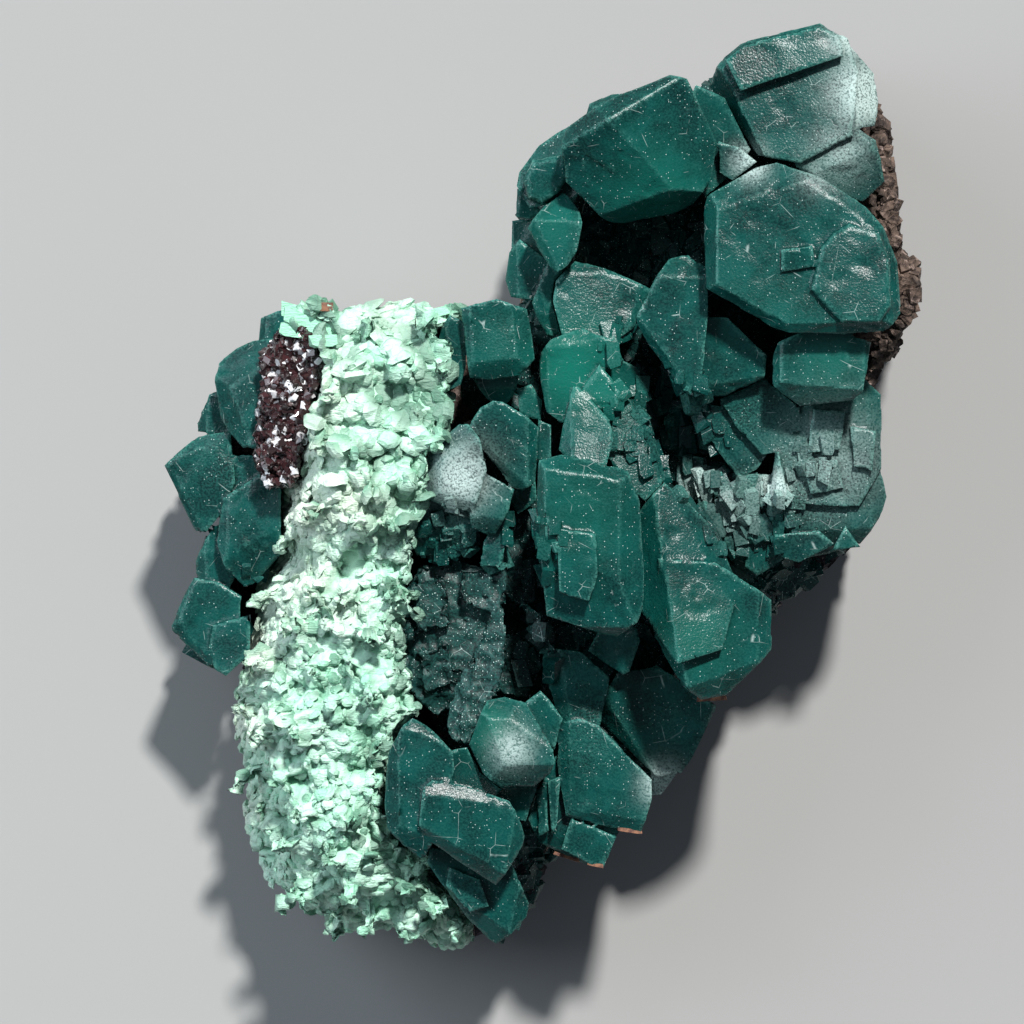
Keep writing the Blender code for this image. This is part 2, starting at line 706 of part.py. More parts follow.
def flank_crystals():
    """The two plates and the rough stepped flank down the right-hand edge."""
    long_plate = Crystal(
        outline=(
            (23.4, 14.6), (26.5, 13.4), (28.7, 13.8), (32.9, 8.1), (35.7, 6.4), (34.0, 4.0),
            (31.0, 2.3), (27.1, 7.8),
        ),
        height=37.5,
        slope=(-0.05, 0.12),
    )
    upper_plate = Crystal(
        outline=(
            (27.9, 15.0), (31.0, 17.2), (34.8, 18.4), (40.6, 14.0), (40.4, 10.3), (37.1, 6.6),
            (34.6, 6.0), (30.4, 10.8),
        ),
        height=39.5,
        slope=(0.03, 0.16),
    )
    upper_flank = Crystal(
        outline=(
            (39.6, 13.4), (42.4, 14.6), (50.5, 18.2), (53.4, 15.8), (53.6, 4.1), (50.0, -2.0),
            (40.0, -1.5), (37.4, 3.0), (37.2, 8.0),
        ),
        height=39.0,
        slope=(0.02, 0.10),
        facets=(Facet((51.4, 1.0), (51.2, 17.0), 0.6),),
    )
    lower_flank = Crystal(
        outline=(
            (37.4, 3.0), (46.0, 5.0), (53.3, 4.4), (54.5, -0.3), (53.5, -3.6), (50.4, -8.0),
            (45.0, -9.8), (41.5, -10.6), (38.0, -9.7), (36.0, -5.0),
        ),
        height=36.5,
        slope=(0.02, 0.14),
        facets=(Facet((36.4, -5.6), (51.0, -5.0), 0.7), Facet((52.0, -5.0), (51.8, 4.4), 0.6)),
    )
    white_blade = Crystal(
        outline=((36.4, 7.0), (37.4, 7.0), (38.6, -0.6), (35.6, -0.8)),
        height=40.6,
        slope=(0.10, -0.22),
        facets=(Facet((37.0, 7.2), (36.8, -0.8), 1.3),),
    )
    ledge = Crystal(
        outline=((36.6, -6.2), (43.5, -5.6), (46.2, -7.8), (40.4, -10.8), (37.0, -9.6)),
        height=36.8,
        slope=(0.0, 0.2),
    )
    spur = Crystal(((47.7, -4.9), (45.5, -8.8), (50.2, -8.2)), 38.0, (0.0, 0.2))
    low_spur = Crystal(
        outline=((33.0, -4.4), (35.2, -5.2), (38.4, -10.0), (34.0, -12.9), (32.0, -11.3)),
        height=34.0,
        slope=(0.10, 0.20),
    )
    rough_slope = Crystal(
        outline=((24.6, 4.0), (31.0, 3.0), (37.0, 3.0), (37.4, -5.5), (32.2, -11.0), (26.2, -5.0)),
        height=33.5,
        slope=(0.12, 0.10),
    )
    small_blocks = (
        Crystal(((26.2, 3.0), (28.4, 3.8), (29.6, 0.8), (27.2, -0.6)), 35.4, (0.20, 0.10)),
        Crystal(((28.6, 0.6), (31.4, 2.4), (33.4, -0.8), (30.6, -3.4)), 36.6, (0.05, 0.25)),
        Crystal(((32.4, 2.6), (34.8, 2.2), (35.0, -2.2), (32.6, -1.6)), 36.2, (0.30, 0.05)),
        Crystal(((31.6, -3.4), (34.6, -3.0), (35.4, -6.2), (32.8, -7.2)), 35.8, (0.10, 0.30)),
    )
    terraces = (
        Crystal(((42.5, 13.6), (47.5, 13.0), (47.0, 7.0), (41.5, 6.4)), 40.6, (0.03, 0.12), foot=30.0),
        Crystal(((41.0, 4.8), (46.4, 5.6), (47.6, 1.0), (42.2, 0.0)), 39.6, (-0.05, 0.16), foot=30.0),
        Crystal(((48.4, 10.8), (52.4, 10.0), (52.0, 3.6), (48.8, 4.4)), 40.0, (0.02, 0.05), foot=30.0),
    )
    plates = (long_plate, upper_plate, upper_flank, lower_flank, rough_slope)
    return plates + (white_blade, ledge, spur, low_spur) + small_blocks + terraces


def dark_block_crystals():
    """The dark rough crystal left of the centre, with the long blade that leans on it."""
    block = Crystal(
        outline=(
            (-19.1, -10.6), (-12.9, -10.4), (-6.0, -11.7), (-6.0, -28.9), (-9.6, -32.0),
            (-16.2, -35.2), (-18.4, -34.2), (-21.3, -30.5), (-22.8, -25.3), (-22.2, -15.3),
        ),
        height=37.0,
        slope=(0.08, 0.04),
        facets=(
            Facet((-19.8, -12.0), (-20.2, -31.0), 0.6),
            Facet((-20.4, -29.0), (-8.0, -27.0), 0.4),
        ),
    )
    blue_block = Crystal(
        outline=((-13.0, -11.4), (-5.4, -11.6), (-5.4, -17.2), (-8.0, -18.6), (-12.6, -17.0)),
        height=40.5,
        slope=(0.06, 0.10),
    )
    long_blade = Crystal(
        outline=(
            (-6.6, -15.4), (-5.4, -18.6), (-5.6, -26.0), (-6.6, -31.0), (-11.4, -39.6),
            (-13.6, -39.2), (-15.4, -36.4), (-14.6, -31.4), (-10.8, -24.2),
        ),
        height=43.0,
        slope=(0.12, 0.02),
        facets=(Facet((-8.0, -16.0), (-13.2, -37.0), 0.7),),
    )
    shelf = Crystal(((-20.6, -13.6), (-15.0, -12.6), (-14.0, -20.6), (-20.2, -22.4)), 39.4, (0.1, 0.1))
    lower_shelf = Crystal(
        outline=((-20.0, -24.6), (-14.4, -23.0), (-13.4, -29.6), (-18.6, -31.6)),
        height=37.4,
        slope=(0.1, 0.2),
    )
    leaf = Crystal(
        outline=((-3.6, -15.6), (0.2, -18.8), (1.8, -24.4), (-0.4, -23.0), (-2.8, -19.4)),
        height=42.0,
        slope=(0.30, 0.0),
    )
    upper_deep = ((-6.8, -9.8), (-0.8, -9.8), (-0.4, -17.0), (-3.6, -18.0), (-6.8, -15.0))
    lower_deep = ((-7.4, -21.8), (-0.2, -21.4), (0.6, -26.6), (-2.0, -32.4), (-7.6, -31.4))
    deep_crystals = (
        Crystal(upper_deep, 34.0, (0.2, 0.1)),
        Crystal(lower_deep, 34.0, (0.1, 0.2)),
        Crystal(((-6.4, -3.4), (-1.0, -2.0), (-0.8, -10.0), (-6.4, -10.6)), 33.0, (0.1, 0.1)),
    )
    return (block, blue_block, long_blade, shelf, lower_shelf, leaf) + deep_crystals


def lower_crystals():
    """The slab, the windowed crystal and the stepped block below the middle."""
    window = Crystal(
        outline=(
            (-11.9, -39.0), (-9.8, -34.6), (-8.7, -31.7), (-5.7, -31.1), (-2.3, -32.2),
            (1.6, -39.0), (2.3, -41.3), (1.6, -43.6), (-0.9, -46.0), (-6.5, -46.1), (-9.6, -43.6),
        ),
        height=48.0,
        slope=(0.03, 0.06),
        facets=(
            Facet((-5.7, -42.2), (1.0, -42.0), 0.85),
            Facet((-8.2, -35.0), (-5.9, -42.2), 0.75),
            Facet((1.6, -39.6), (-4.8, -35.0), 0.7),
            Facet((-4.8, -34.8), (-8.4, -34.8), 0.8),
        ),
    )
    wedge = Crystal(
        outline=(
            (-0.2, -30.6), (1.2, -32.0), (3.4, -35.0), (2.9, -37.0), (2.1, -40.0), (-1.5, -37.6),
            (-2.9, -35.5), (-2.5, -32.3),
        ),
        height=41.5,
        slope=(0.16, 0.06),
    )
    dark_facet = Crystal(
        outline=(
            (0.3, -23.8), (6.3, -24.6), (10.9, -28.6), (10.5, -31.9), (8.4, -39.6), (3.9, -39.6),
            (1.1, -30.5), (0.0, -26.6),
        ),
        height=38.0,
        slope=(-0.10, 0.12),
        facets=(Facet((3.0, -25.0), (4.4, -34.6), 0.6),),
    )
    under_tower = Crystal(
        outline=((14.8, -20.6), (15.4, -23.0), (13.9, -27.8), (12.8, -28.4), (7.0, -24.6), (9.0, -21.0)),
        height=36.0,
        slope=(0.20, 0.20),
    )
    slab = Crystal(
        outline=(
            (12.1, -27.9), (18.2, -27.0), (24.8, -31.0), (27.7, -33.3), (25.9, -36.9),
            (24.0, -41.4), (22.3, -44.1), (18.0, -44.7), (8.2, -35.2), (9.8, -31.6),
        ),
        height=31.0,
        slope=(0.02, 0.14),
        facets=(Facet((10.1, -32.0), (17.8, -44.0), 1.1), Facet((25.8, -38.0), (26.6, -32.0), 0.5)),
    )
    white_tip = Crystal(((17.4, -44.0), (22.2, -43.0), (19.1, -47.7), (17.1, -47.8)), 26.0, (0.0, 0.4))
    stair_top = Crystal(
        outline=(
            (3.0, -35.6), (6.0, -34.9), (9.0, -36.1), (17.3, -44.5), (17.4, -47.7),
            (15.7, -53.4), (12.0, -52.7), (3.6, -50.5), (2.2, -42.0),
        ),
        height=41.0,
        slope=(0.06, 0.10),
        facets=(Facet((3.6, -49.2), (16.0, -50.8), 0.6), Facet((4.4, -36.0), (4.6, -50.0), 0.4)),
    )
    stair_foot = Crystal(
        outline=(
            (2.3, -41.0), (-0.5, -46.4), (-2.2, -50.9), (-0.7, -54.7), (7.1, -58.5),
            (9.8, -59.0), (12.4, -52.3), (10.0, -45.0),
        ),
        height=37.5,
        slope=(0.04, 0.12),
        facets=(Facet((-1.6, -52.6), (10.4, -55.4), 0.6),),
    )
    stair_tread = Crystal(
        outline=((4.6, -50.8), (8.6, -52.2), (11.8, -53.6), (9.8, -58.6), (7.6, -58.0), (3.0, -55.6)),
        height=38.8,
        slope=(0.0, 0.10),
        foot=30.0,
    )
    ribs = (
        Crystal(((-0.8, -46.2), (0.8, -45.2), (1.2, -52.6), (-0.6, -54.0)), 38.4, (0.25, 0.06), foot=30.0),
        Crystal(((1.0, -44.8), (3.0, -44.0), (2.6, -51.4), (1.4, -54.4)), 39.7, (0.15, 0.10), foot=30.0),
    )
    return (
        window, wedge, dark_facet, under_tower, slab, white_tip, stair_top, stair_foot, stair_tread,
    ) + ribs


def foot_crystals():
    """The three stacked crystals at the lower left of the green mass."""
    upper = Crystal(
        outline=(
            (-20.1, -34.6), (-17.4, -36.2), (-13.8, -40.0), (-13.5, -43.1), (-15.1, -47.0),
            (-17.0, -54.6), (-17.9, -56.9), (-19.3, -57.2), (-22.9, -53.9), (-24.5, -52.2),
            (-25.0, -48.3), (-24.2, -40.0), (-21.8, -35.9),
        ),
        height=47.5,
        slope=(0.08, 0.04),
        facets=(
            Facet((-22.4, -37.0), (-22.2, -53.6), 0.8),
            Facet((-17.8, -37.6), (-21.6, -36.2), 0.6),
            Facet((-22.6, -51.4), (-17.4, -53.4), 0.6),
        ),
    )
    middle = Crystal(
        outline=(
            (-18.4, -45.4), (-17.1, -44.3), (-12.7, -44.8), (-4.8, -47.6), (-3.0, -51.1),
            (-2.3, -53.2), (-2.6, -54.8), (-4.6, -57.1), (-7.0, -61.5), (-12.7, -57.7),
            (-17.3, -54.4), (-19.2, -51.6),
        ),
        height=48.5,
        slope=(-0.02, 0.12),
        facets=(
            Facet((-17.6, -52.2), (-6.0, -58.6), 0.9),
            Facet((-5.6, -58.0), (-3.8, -49.0), 0.8),
            Facet((-7.0, -48.2), (-17.4, -46.6), 0.5),
        ),
    )
    lowest = Crystal(
        outline=(
            (-17.4, -55.2), (-11.0, -57.0), (-4.9, -57.6), (-3.4, -60.8), (-1.5, -64.1),
            (-2.0, -66.4), (-4.8, -69.4), (-7.0, -71.2), (-8.5, -70.4), (-12.0, -66.6),
            (-16.0, -60.4), (-17.9, -57.7),
        ),
        height=39.0,
        slope=(0.02, 0.16),
        facets=(Facet((-14.4, -62.0), (-5.2, -68.4), 0.8), Facet((-4.8, -68.0), (-3.0, -60.0), 0.7)),
    )
    second_step = Crystal(
        outline=((-14.4, -58.4), (-9.6, -60.2), (-8.0, -64.6), (-11.4, -65.6), (-15.0, -61.2)),
        height=40.6,
        slope=(0.05, 0.20),
        foot=30.0,
    )
    link = Crystal(
        outline=((-14.2, -39.8), (-11.4, -39.4), (-6.0, -45.8), (-8.2, -49.0), (-14.2, -46.0)),
        height=43.0,
        slope=(0.05, 0.18),
    )
    low_link = Crystal(
        outline=((-8.4, -45.0), (-0.6, -45.4), (-2.4, -51.4), (-8.2, -50.0)),
        height=39.0,
        slope=(0.10, 0.20),
    )
    return upper, middle, lowest, second_step, link, low_link


def left_crystals():
    """The group of green crystals that looks out from under the crust's left side."""
    rows = (
        Crystal(
            outline=((-44.4, 28.0), (-42.1, 29.0), (-39.4, 29.4), (-39.0, 24.0), (-44.8, 24.2)),
            height=31.0,
            slope=(0.15, 0.0),
            facets=(Facet((-43.4, 28.6), (-43.6, 24.4), 0.7),),
            foot=LEFT_FOOT,
        ),
        Crystal(
            outline=(
                (-45.5, 24.6), (-48.2, 23.4), (-51.2, 21.1), (-51.9, 18.0), (-50.9, 11.6),
                (-49.9, 10.2), (-47.1, 7.3), (-41.0, 7.7), (-39.0, 21.0), (-40.4, 25.0),
            ),
            height=33.5,
            slope=(0.18, -0.04),
            facets=(Facet((-42.9, 20.8), (-49.4, 17.0), 0.45), Facet((-49.0, 17.0), (-46.0, 8.6), 0.7)),
            foot=LEFT_FOOT,
        ),
        Crystal(
            outline=(
                (-52.7, 16.1), (-51.3, 16.5), (-49.0, 15.5), (-49.0, 9.6), (-54.7, 9.8), (-54.8, 11.3),
            ),
            height=26.5,
            slope=(0.15, 0.05),
            facets=(Facet((-52.8, 15.8), (-53.2, 10.2), 0.7),),
            foot=LEFT_FOOT,
        ),
        Crystal(
            outline=(
                (-59.9, 4.7), (-57.6, 6.9), (-54.3, 9.6), (-49.0, 10.2), (-48.4, 2.0),
                (-50.6, -3.0), (-53.0, -6.0), (-54.8, -5.9), (-57.4, 0.2),
            ),
            height=29.0,
            slope=(0.12, 0.06),
            facets=(Facet((-58.8, 4.8), (-53.4, -5.6), 0.7), Facet((-50.6, 9.0), (-58.0, 5.6), 0.5)),
            foot=LEFT_FOOT,
        ),
        Crystal(
            outline=((-52.4, 4.2), (-49.0, 0.6), (-44.0, 2.4), (-42.0, 6.0), (-49.0, 6.4)),
            height=29.5,
            slope=(0.20, 0.10),
            foot=LEFT_FOOT,
        ),
        Crystal(
            outline=(
                (-44.0, 3.6), (-50.4, -0.4), (-51.5, -7.5), (-49.8, -12.2), (-47.1, -14.8),
                (-45.4, -14.6), (-41.0, -9.5), (-41.0, 1.0),
            ),
            height=32.0,
            slope=(0.18, 0.0),
            facets=(
                Facet((-50.2, -10.2), (-43.0, -6.0), 0.6),
                Facet((-49.4, -1.0), (-49.8, -11.0), 0.5),
            ),
            foot=LEFT_FOOT,
        ),
        Crystal(
            outline=(
                (-50.6, -4.0), (-53.0, -6.5), (-54.9, -10.3), (-54.9, -12.2), (-53.5, -15.9),
                (-50.0, -16.2), (-47.0, -10.0),
            ),
            height=27.0,
            slope=(0.12, 0.04),
            facets=(Facet((-53.4, -7.4), (-53.0, -15.6), 0.8),),
            foot=LEFT_FOOT,
        ),
        Crystal(
            outline=(
                (-54.9, -13.0), (-56.3, -15.3), (-58.8, -20.6), (-58.8, -21.5), (-54.9, -25.4),
                (-52.7, -27.3), (-48.0, -24.7), (-47.4, -16.0), (-50.9, -13.8),
            ),
            height=28.5,
            slope=(0.14, 0.03),
            facets=(
                Facet((-57.6, -20.2), (-52.6, -25.8), 0.7),
                Facet((-55.4, -15.0), (-57.6, -20.6), 0.8),
            ),
            foot=LEFT_FOOT,
        ),
        Crystal(
            outline=(
                (-52.0, -20.4), (-46.0, -19.0), (-46.0, -25.0), (-49.8, -28.6), (-51.6, -27.6),
                (-52.8, -24.5),
            ),
            height=29.5,
            slope=(0.22, 0.06),
            foot=LEFT_FOOT,
        ),
    )
    return rows


# The crust's outline in four stretches: the free left and lower edge, the side that meets the
# crystals, the free top edge, and the side that meets the dark patch.
CRUST_FREE_EDGE = (
    (-42.6, 0.6), (-43.6, -6.0), (-46.0, -12.0), (-47.6, -20.6), (-49.2, -29.0), (-49.8, -38.4),
    (-48.4, -44.0), (-48.2, -51.6), (-47.0, -56.9), (-44.0, -61.9), (-38.6, -67.0),
    (-30.6, -70.8), (-22.0, -70.2), (-16.2, -73.1), (-12.2, -73.2), (-9.2, -71.0),
)
CRUST_CRYSTAL_SIDE = (
    (-11.6, -66.0), (-15.6, -58.0), (-20.6, -52.0), (-21.6, -42.0), (-18.6, -34.0), (-20.4, -24.0),
    (-19.6, -12.0), (-18.4, -4.0), (-16.0, 2.0), (-13.4, 10.0), (-13.6, 18.0), (-12.6, 25.0),
)
CRUST_TOP_EDGE = (
    (-12.4, 29.4), (-18.2, 31.7), (-25.4, 31.0), (-32.5, 29.8), (-37.8, 30.6), (-41.0, 29.2),
)
CRUST_DRUSE_SIDE = (
    (-40.4, 26.6), (-36.6, 25.6), (-36.2, 20.0), (-37.2, 14.0), (-38.6, 8.0), (-39.6, 2.6),
)
CRUST_OUTLINE = CRUST_FREE_EDGE + CRUST_CRYSTAL_SIDE + CRUST_TOP_EDGE + CRUST_DRUSE_SIDE

# Where the crust domes in from an edge: the edge, the height there and how far in the dome reaches.
CRUST_EDGES = (
    (CRUST_FREE_EDGE[:10], 18.0, 15.0),
    (CRUST_FREE_EDGE[9:], 20.0, 11.0),
    (CRUST_TOP_EDGE, 32.0, 9.0),
)

# Lumps that stand proud of the crust: place, radius and height.
CRUST_LUMPS = (
    ((-33.6, 15.9), 6.0, 3.2), ((-22.0, 22.0), 5.5, 2.6), ((-36.4, 8.0), 4.0, 1.6),
    ((-28.4, 4.0), 5.0, 2.4), ((-38.0, -1.4), 5.0, 1.6), ((-30.4, -2.6), 5.0, 2.0),
    ((-37.6, -36.4), 5.5, 2.0), ((-27.4, -31.0), 5.0, 1.6), ((-33.0, -50.6), 5.5, 2.0),
    ((-41.6, -27.0), 5.0, 1.2), ((-27.0, -61.0), 6.0, 1.8), ((-25.0, -20.0), 5.0, 1.6),
)
# Ledges run across the crust: the height falls by the step below each line.
CRUST_LEDGES = (
    ((-44.0, -6.2), (-24.0, -4.6), 3.2), ((-42.0, -24.0), (-22.0, -22.8), 2.6),
    ((-36.0, -38.4), (-23.0, -36.6), 2.4), ((-40.0, -54.6), (-26.0, -53.6), 2.4),
    ((-36.0, -60.8), (-22.0, -60.0), 1.8),
)
CRUST_HOLLOWS = (((-28.0, -1.6), 3.6, -5.0), ((-43.6, -52.4), 3.2, -6.0), ((-37.6, 19.0), 3.0, -4.0))


def distance_to_line(point, line):
    """How far the point is from an open line of points."""
    nearest = math.inf
    for start, end in zip(line, line[1:]):
        start, along = Vector(start), Vector(end) - Vector(start)
        share = min(1.0, max(0.0, (point - start).dot(along) / along.length_squared))
        nearest = min(nearest, (point - start - along * share).length)
    return nearest


def crust_height(x, y):
    """The height of the crust's surface: it domes in from its free edge and falls down the specimen."""
    point = Vector((x, y))
    if y > CRUST_OVERHANG_LINE:
        crest = CRUST_UPPER_TOP
    else:
        share = min(1.0, (CRUST_OVERHANG_LINE - y) / CRUST_LOWER_LENGTH)
        crest = CRUST_LOWER_TOP + (CRUST_TAIL_TOP - CRUST_LOWER_TOP) * share**CRUST_FALL
    height = crest
    for edge, edge_top, rounding in CRUST_EDGES:
        inward = min(1.0, distance_to_line(point, edge) / rounding)
        dome = math.sqrt(1.0 - (1.0 - inward) ** 2)
        height = min(height, edge_top + (crest - edge_top) * dome)
    for centre, radius, rise in CRUST_LUMPS + CRUST_HOLLOWS:
        height += rise * math.exp(-((point - Vector(centre)).length / radius) ** 2)
    for start, end, step in CRUST_LEDGES:
        if start[0] < x < end[0]:
            ledge_y = start[1] + (end[1] - start[1]) * (x - start[0]) / (end[0] - start[0])
            above = y - ledge_y
            if 0.0 < above < LEDGE_DEPTH:
                height += step * (1.0 - above / LEDGE_DEPTH)
    return height


def inside_ring(x, y, ring):
    """Whether a point is inside a closed outline."""
    inside = False
    for (ax, ay), (bx, by) in zip(ring, ring[1:] + ring[:1]):
        if (ay > y) != (by > y) and x < (bx - ax) * (y - ay) / (by - ay) + ax:
            inside = not inside
    return inside


def lattice(ring, spacing, margin):
    """Points of a triangular lattice that lie inside the outline by the margin."""
    closed = ring + ring[:1]
    low_x, high_x = min(p[0] for p in ring), max(p[0] for p in ring)
    low_y, high_y = min(p[1] for p in ring), max(p[1] for p in ring)
    points = []
    row_gap = spacing * math.sqrt(3.0) / 2.0
    for row in range(int((high_y - low_y) / row_gap) + 1):
        y = low_y + row * row_gap
        shift = spacing / 2.0 if row % 2 else 0.0
        for column in range(int((high_x - low_x) / spacing) + 1):
            x = low_x + shift + column * spacing
            if inside_ring(x, y, ring) and distance_to_line(Vector((x, y)), closed) > margin:
                points.append((x, y))
    return points


def relief_body(name, ring, height_of, spacing, sides, waver=0.0):
    """A closed body: a relief inside the outline, walls through the rings below it and a flat foot.

    The sides are pairs of a height and an inset of the outline, from the top down. The waver sets
    the walls further in by uneven amounts.
    """
    inner = lattice(ring, spacing, spacing * 0.45)
    points = [Vector(p) for p in list(ring) + inner]
    edges = [(i, (i + 1) % len(ring)) for i in range(len(ring))]
    flat, _, faces, _, _, _ = delaunay_2d_cdt(points, edges, [list(range(len(ring)))], 1, 1e-6)
    mesh_maker = bmesh.new()
    top = [mesh_maker.verts.new((p.x, p.y, height_of(p.x, p.y))) for p in flat]
    for face in faces:
        mesh_maker.faces.new([top[index] for index in face])
    middle = sum((Vector(p) for p in ring), Vector((0.0, 0.0))) / len(ring)
    upper = top[: len(ring)]
    for level, inset in sides:
        lower = []
        for point in ring:
            inward = middle - Vector(point)
            uneven = abs(noise.noise(Vector((*point, level)) / ROCK_LUMP_SPACING))
            place = Vector(point) + inward.normalized() * (inset + waver * uneven)
            lower.append(mesh_maker.verts.new((place.x, place.y, level)))
        for i in range(len(ring)):
            j = (i + 1) % len(ring)
            mesh_maker.faces.new((upper[i], lower[i], lower[j]))
            mesh_maker.faces.new((upper[i], lower[j], upper[j]))
        upper = lower
    mesh_maker.faces.new(upper)
    bmesh.ops.triangulate(mesh_maker, faces=[face for face in mesh_maker.faces if len(face.verts) > 3])
    bmesh.ops.recalc_face_normals(mesh_maker, faces=mesh_maker.faces[:])
    bmesh.ops.scale(mesh_maker, vec=(METRES,) * 3, verts=mesh_maker.verts[:])
    mesh = bpy.data.meshes.new(name)
    mesh_maker.to_mesh(mesh)
    mesh_maker.free()
    return new_object(name, mesh)


def scale_object(x, y, chance):
    """One stilbite scale: a thin leaf whose tip stands off the crust and hangs down the specimen."""
    step = CRUST_GRID / 12.0
    rise_x = (crust_height(x + step, y) - crust_height(x - step, y)) / (2 * step)
    rise_y = (crust_height(x, y + step) - crust_height(x, y - step)) / (2 * step)
    up = Vector((-rise_x, -rise_y, 1.0)).normalized()
    heading = math.radians(-90.0 + chance.uniform(-40.0, 40.0))
    tip = Vector((math.cos(heading) - 0.5, math.sin(heading), 0.0))
    tip = (tip - up * tip.dot(up)).normalized()
    across = up.cross(tip)
    lift = math.radians(SCALE_LIFT + chance.uniform(-8.0, 8.0))
    tip, up = tip * math.cos(lift) + up * math.sin(lift), up * math.cos(lift) - tip * math.sin(lift)
    length = chance.uniform(*SCALE_LENGTH)
    width = length * chance.uniform(*SCALE_WIDTH)
    centre = Vector((x, y, crust_height(x, y) - SCALE_SINK))
    root_along, root_depth = SCALE_ROOT
    points = [centre + tip * length * root_along - up * SCALE_THICKNESS * root_depth]
    for along, aside in SCALE_RIM:
        points.append(centre + tip * along * length + across * aside * width)
    for along, aside in SCALE_CREST:
        points.append(centre + tip * along * length + across * aside * width + up * SCALE_THICKNESS)
    return hull_object("scale", points)


def stilbite_crust(material, neighbours):
    """The pale crust: a domed body with ledges and hollows, and the leaf-like scales grown on it."""
    chance = random.Random(11)
    sides = ((CRUST_FOOT, 1.5),)
    body = relief_body("crust", CRUST_OUTLINE, crust_height, CRUST_GRID, sides)
    scales = []
    for x, y in lattice(CRUST_OUTLINE, SCALE_SPACING, 1.2):
        aside = chance.uniform(-SCALE_JITTER, SCALE_JITTER)
        along = chance.uniform(-SCALE_JITTER, SCALE_JITTER)
        scales.append(scale_object(x + aside, y + along, chance))
    crust = cut(joined([body] + scales), neighbours + [floor_cutter(CRUST_FOOT)])
    return finish(keep_largest_body(crust), "stilbite_crust", material)


def floor_cutter(level):
    """A slab that takes away everything below the level."""
    corners = itertools.product((-TALLEST, TALLEST), (-TALLEST, TALLEST), (level - TALLEST, level))
    return hull_object("floor", corners)


DRUSE_OUTLINE = (
    (-42.8, 22.0), (-40.2, 25.0), (-37.4, 25.4), (-35.6, 20.0), (-37.6, 14.0), (-38.6, 8.0),
    (-39.6, 2.6), (-42.6, 2.4), (-44.0, 6.0), (-43.4, 13.0),
)


def druse_height(x, y):
    """The height of the dark patch: it falls away to the left and has one pit at its top."""
    centre, radius, depth = DRUSE_PIT
    away = (Vector((x, y)) - Vector(centre)).length / radius
    return DRUSE_TOP + DRUSE_SLOPE * (x + DRUSE_MIDDLE_X) - depth * math.exp(-(away**2))


def dark_druse(material, neighbours):
    """The patch of tiny dark crystals: a low body studded with small blocks at all angles."""
    chance = random.Random(23)
    outline = tuple(tuple(point) for point in spread_outline(DRUSE_OUTLINE, DRUSE_SPREAD - 0.1))
    body = relief_body("druse", outline, druse_height, DRUSE_SPACING, ((DRUSE_FOOT, 0.0),))
    grains = []
    for x, y in lattice(DRUSE_OUTLINE, DRUSE_SPACING, 0.6):
        size = chance.uniform(*DRUSE_GRAIN)
        turn = Vector([chance.uniform(-math.pi, math.pi) for _ in range(3)])
        spin = Euler(turn).to_matrix()
        centre = Vector((x, y, druse_height(x, y) + 0.2))
        points = []
        for corner in itertools.product((-1.0, 1.0), repeat=3):
            points.append(centre + spin @ (Vector(corner) * size * 0.62))
        grains.append(hull_object("grain", points))
    druse = joined([body] + grains)
    room = prism_object(DRUSE_OUTLINE, DRUSE_SPREAD, DRUSE_FOOT, TALLEST)
    boolean(druse, room, "INTERSECT")
    druse = cut(baked(druse, [room]), neighbours)
    return finish(keep_largest_body(druse), "dark_druse", material)


ROCK_OUTLINE = (
    (50.0, 66.0), (53.4, 61.2), (55.2, 57.0), (54.6, 52.0), (55.6, 48.0), (56.2, 42.0), (57.9, 38.0),
    (59.9, 34.8), (59.1, 30.9), (57.6, 27.2), (55.4, 22.7), (52.9, 20.0), (51.6, 14.0), (51.6, 4.0),
    (51.6, -4.0), (47.0, -9.4), (42.6, -13.4), (38.4, -16.0), (34.6, -20.0), (33.6, -26.0),
    (26.0, -30.6), (21.6, -40.0), (15.6, -46.0), (12.6, -51.0), (5.6, -56.4), (0.2, -57.6),
    (-1.6, -63.6), (-4.0, -67.6), (-9.6, -70.6), (-15.6, -71.6), (-22.0, -68.0), (-30.6, -68.4),
    (-37.2, -64.2), (-42.4, -58.6), (-45.4, -50.6), (-46.6, -40.0), (-46.2, -29.6), (-51.2, -24.6),
    (-55.4, -20.4), (-52.4, -12.6), (-51.6, -5.6), (-54.6, 1.6), (-55.6, 5.4), (-50.6, 9.6),
    (-49.4, 17.6), (-45.6, 23.0), (-40.6, 27.0), (-30.6, 27.6), (-18.6, 29.4), (-9.6, 28.0),
    (-3.4, 28.6), (-3.6, 36.0), (-2.6, 44.0), (-0.6, 51.6), (4.6, 56.0), (10.6, 59.4), (19.6, 62.6),
    (26.4, 64.0), (31.6, 68.2), (43.2, 71.4),
)
# The box from above that the crust fills, as its lowest X and Y, then its highest.
CRUST_BOX = (-52.0, -75.0, -8.0, 33.0)
# Lumps of the rock: place, radius and height. They make the brown edge on the right.
ROCK_LUMPS = (
    ((57.6, 34.6), 7.0, 13.0), ((55.4, 45.0), 6.0, 12.0), ((54.6, 56.0), 6.0, 11.0),
    ((56.0, 26.0), 6.0, 10.0),
)
ROCK_GRID = 8.0
ROCK_EDGE_ROUNDING = 12.0
ROCK_SIDES = ((7.5, 0.4), (4.0, 2.6), (0.0, ROCK_FOOT_INSET))
ROCK_ROUGHNESS = 2.0
ROCK_SIDE_WAVER = 6.0
ROCK_LUMP_SPACING = 5.0
# The rock steps down to its bench over this width, to the left of this line.
ROCK_STEP_X = -22.0
ROCK_STEP_WIDTH = 6.0


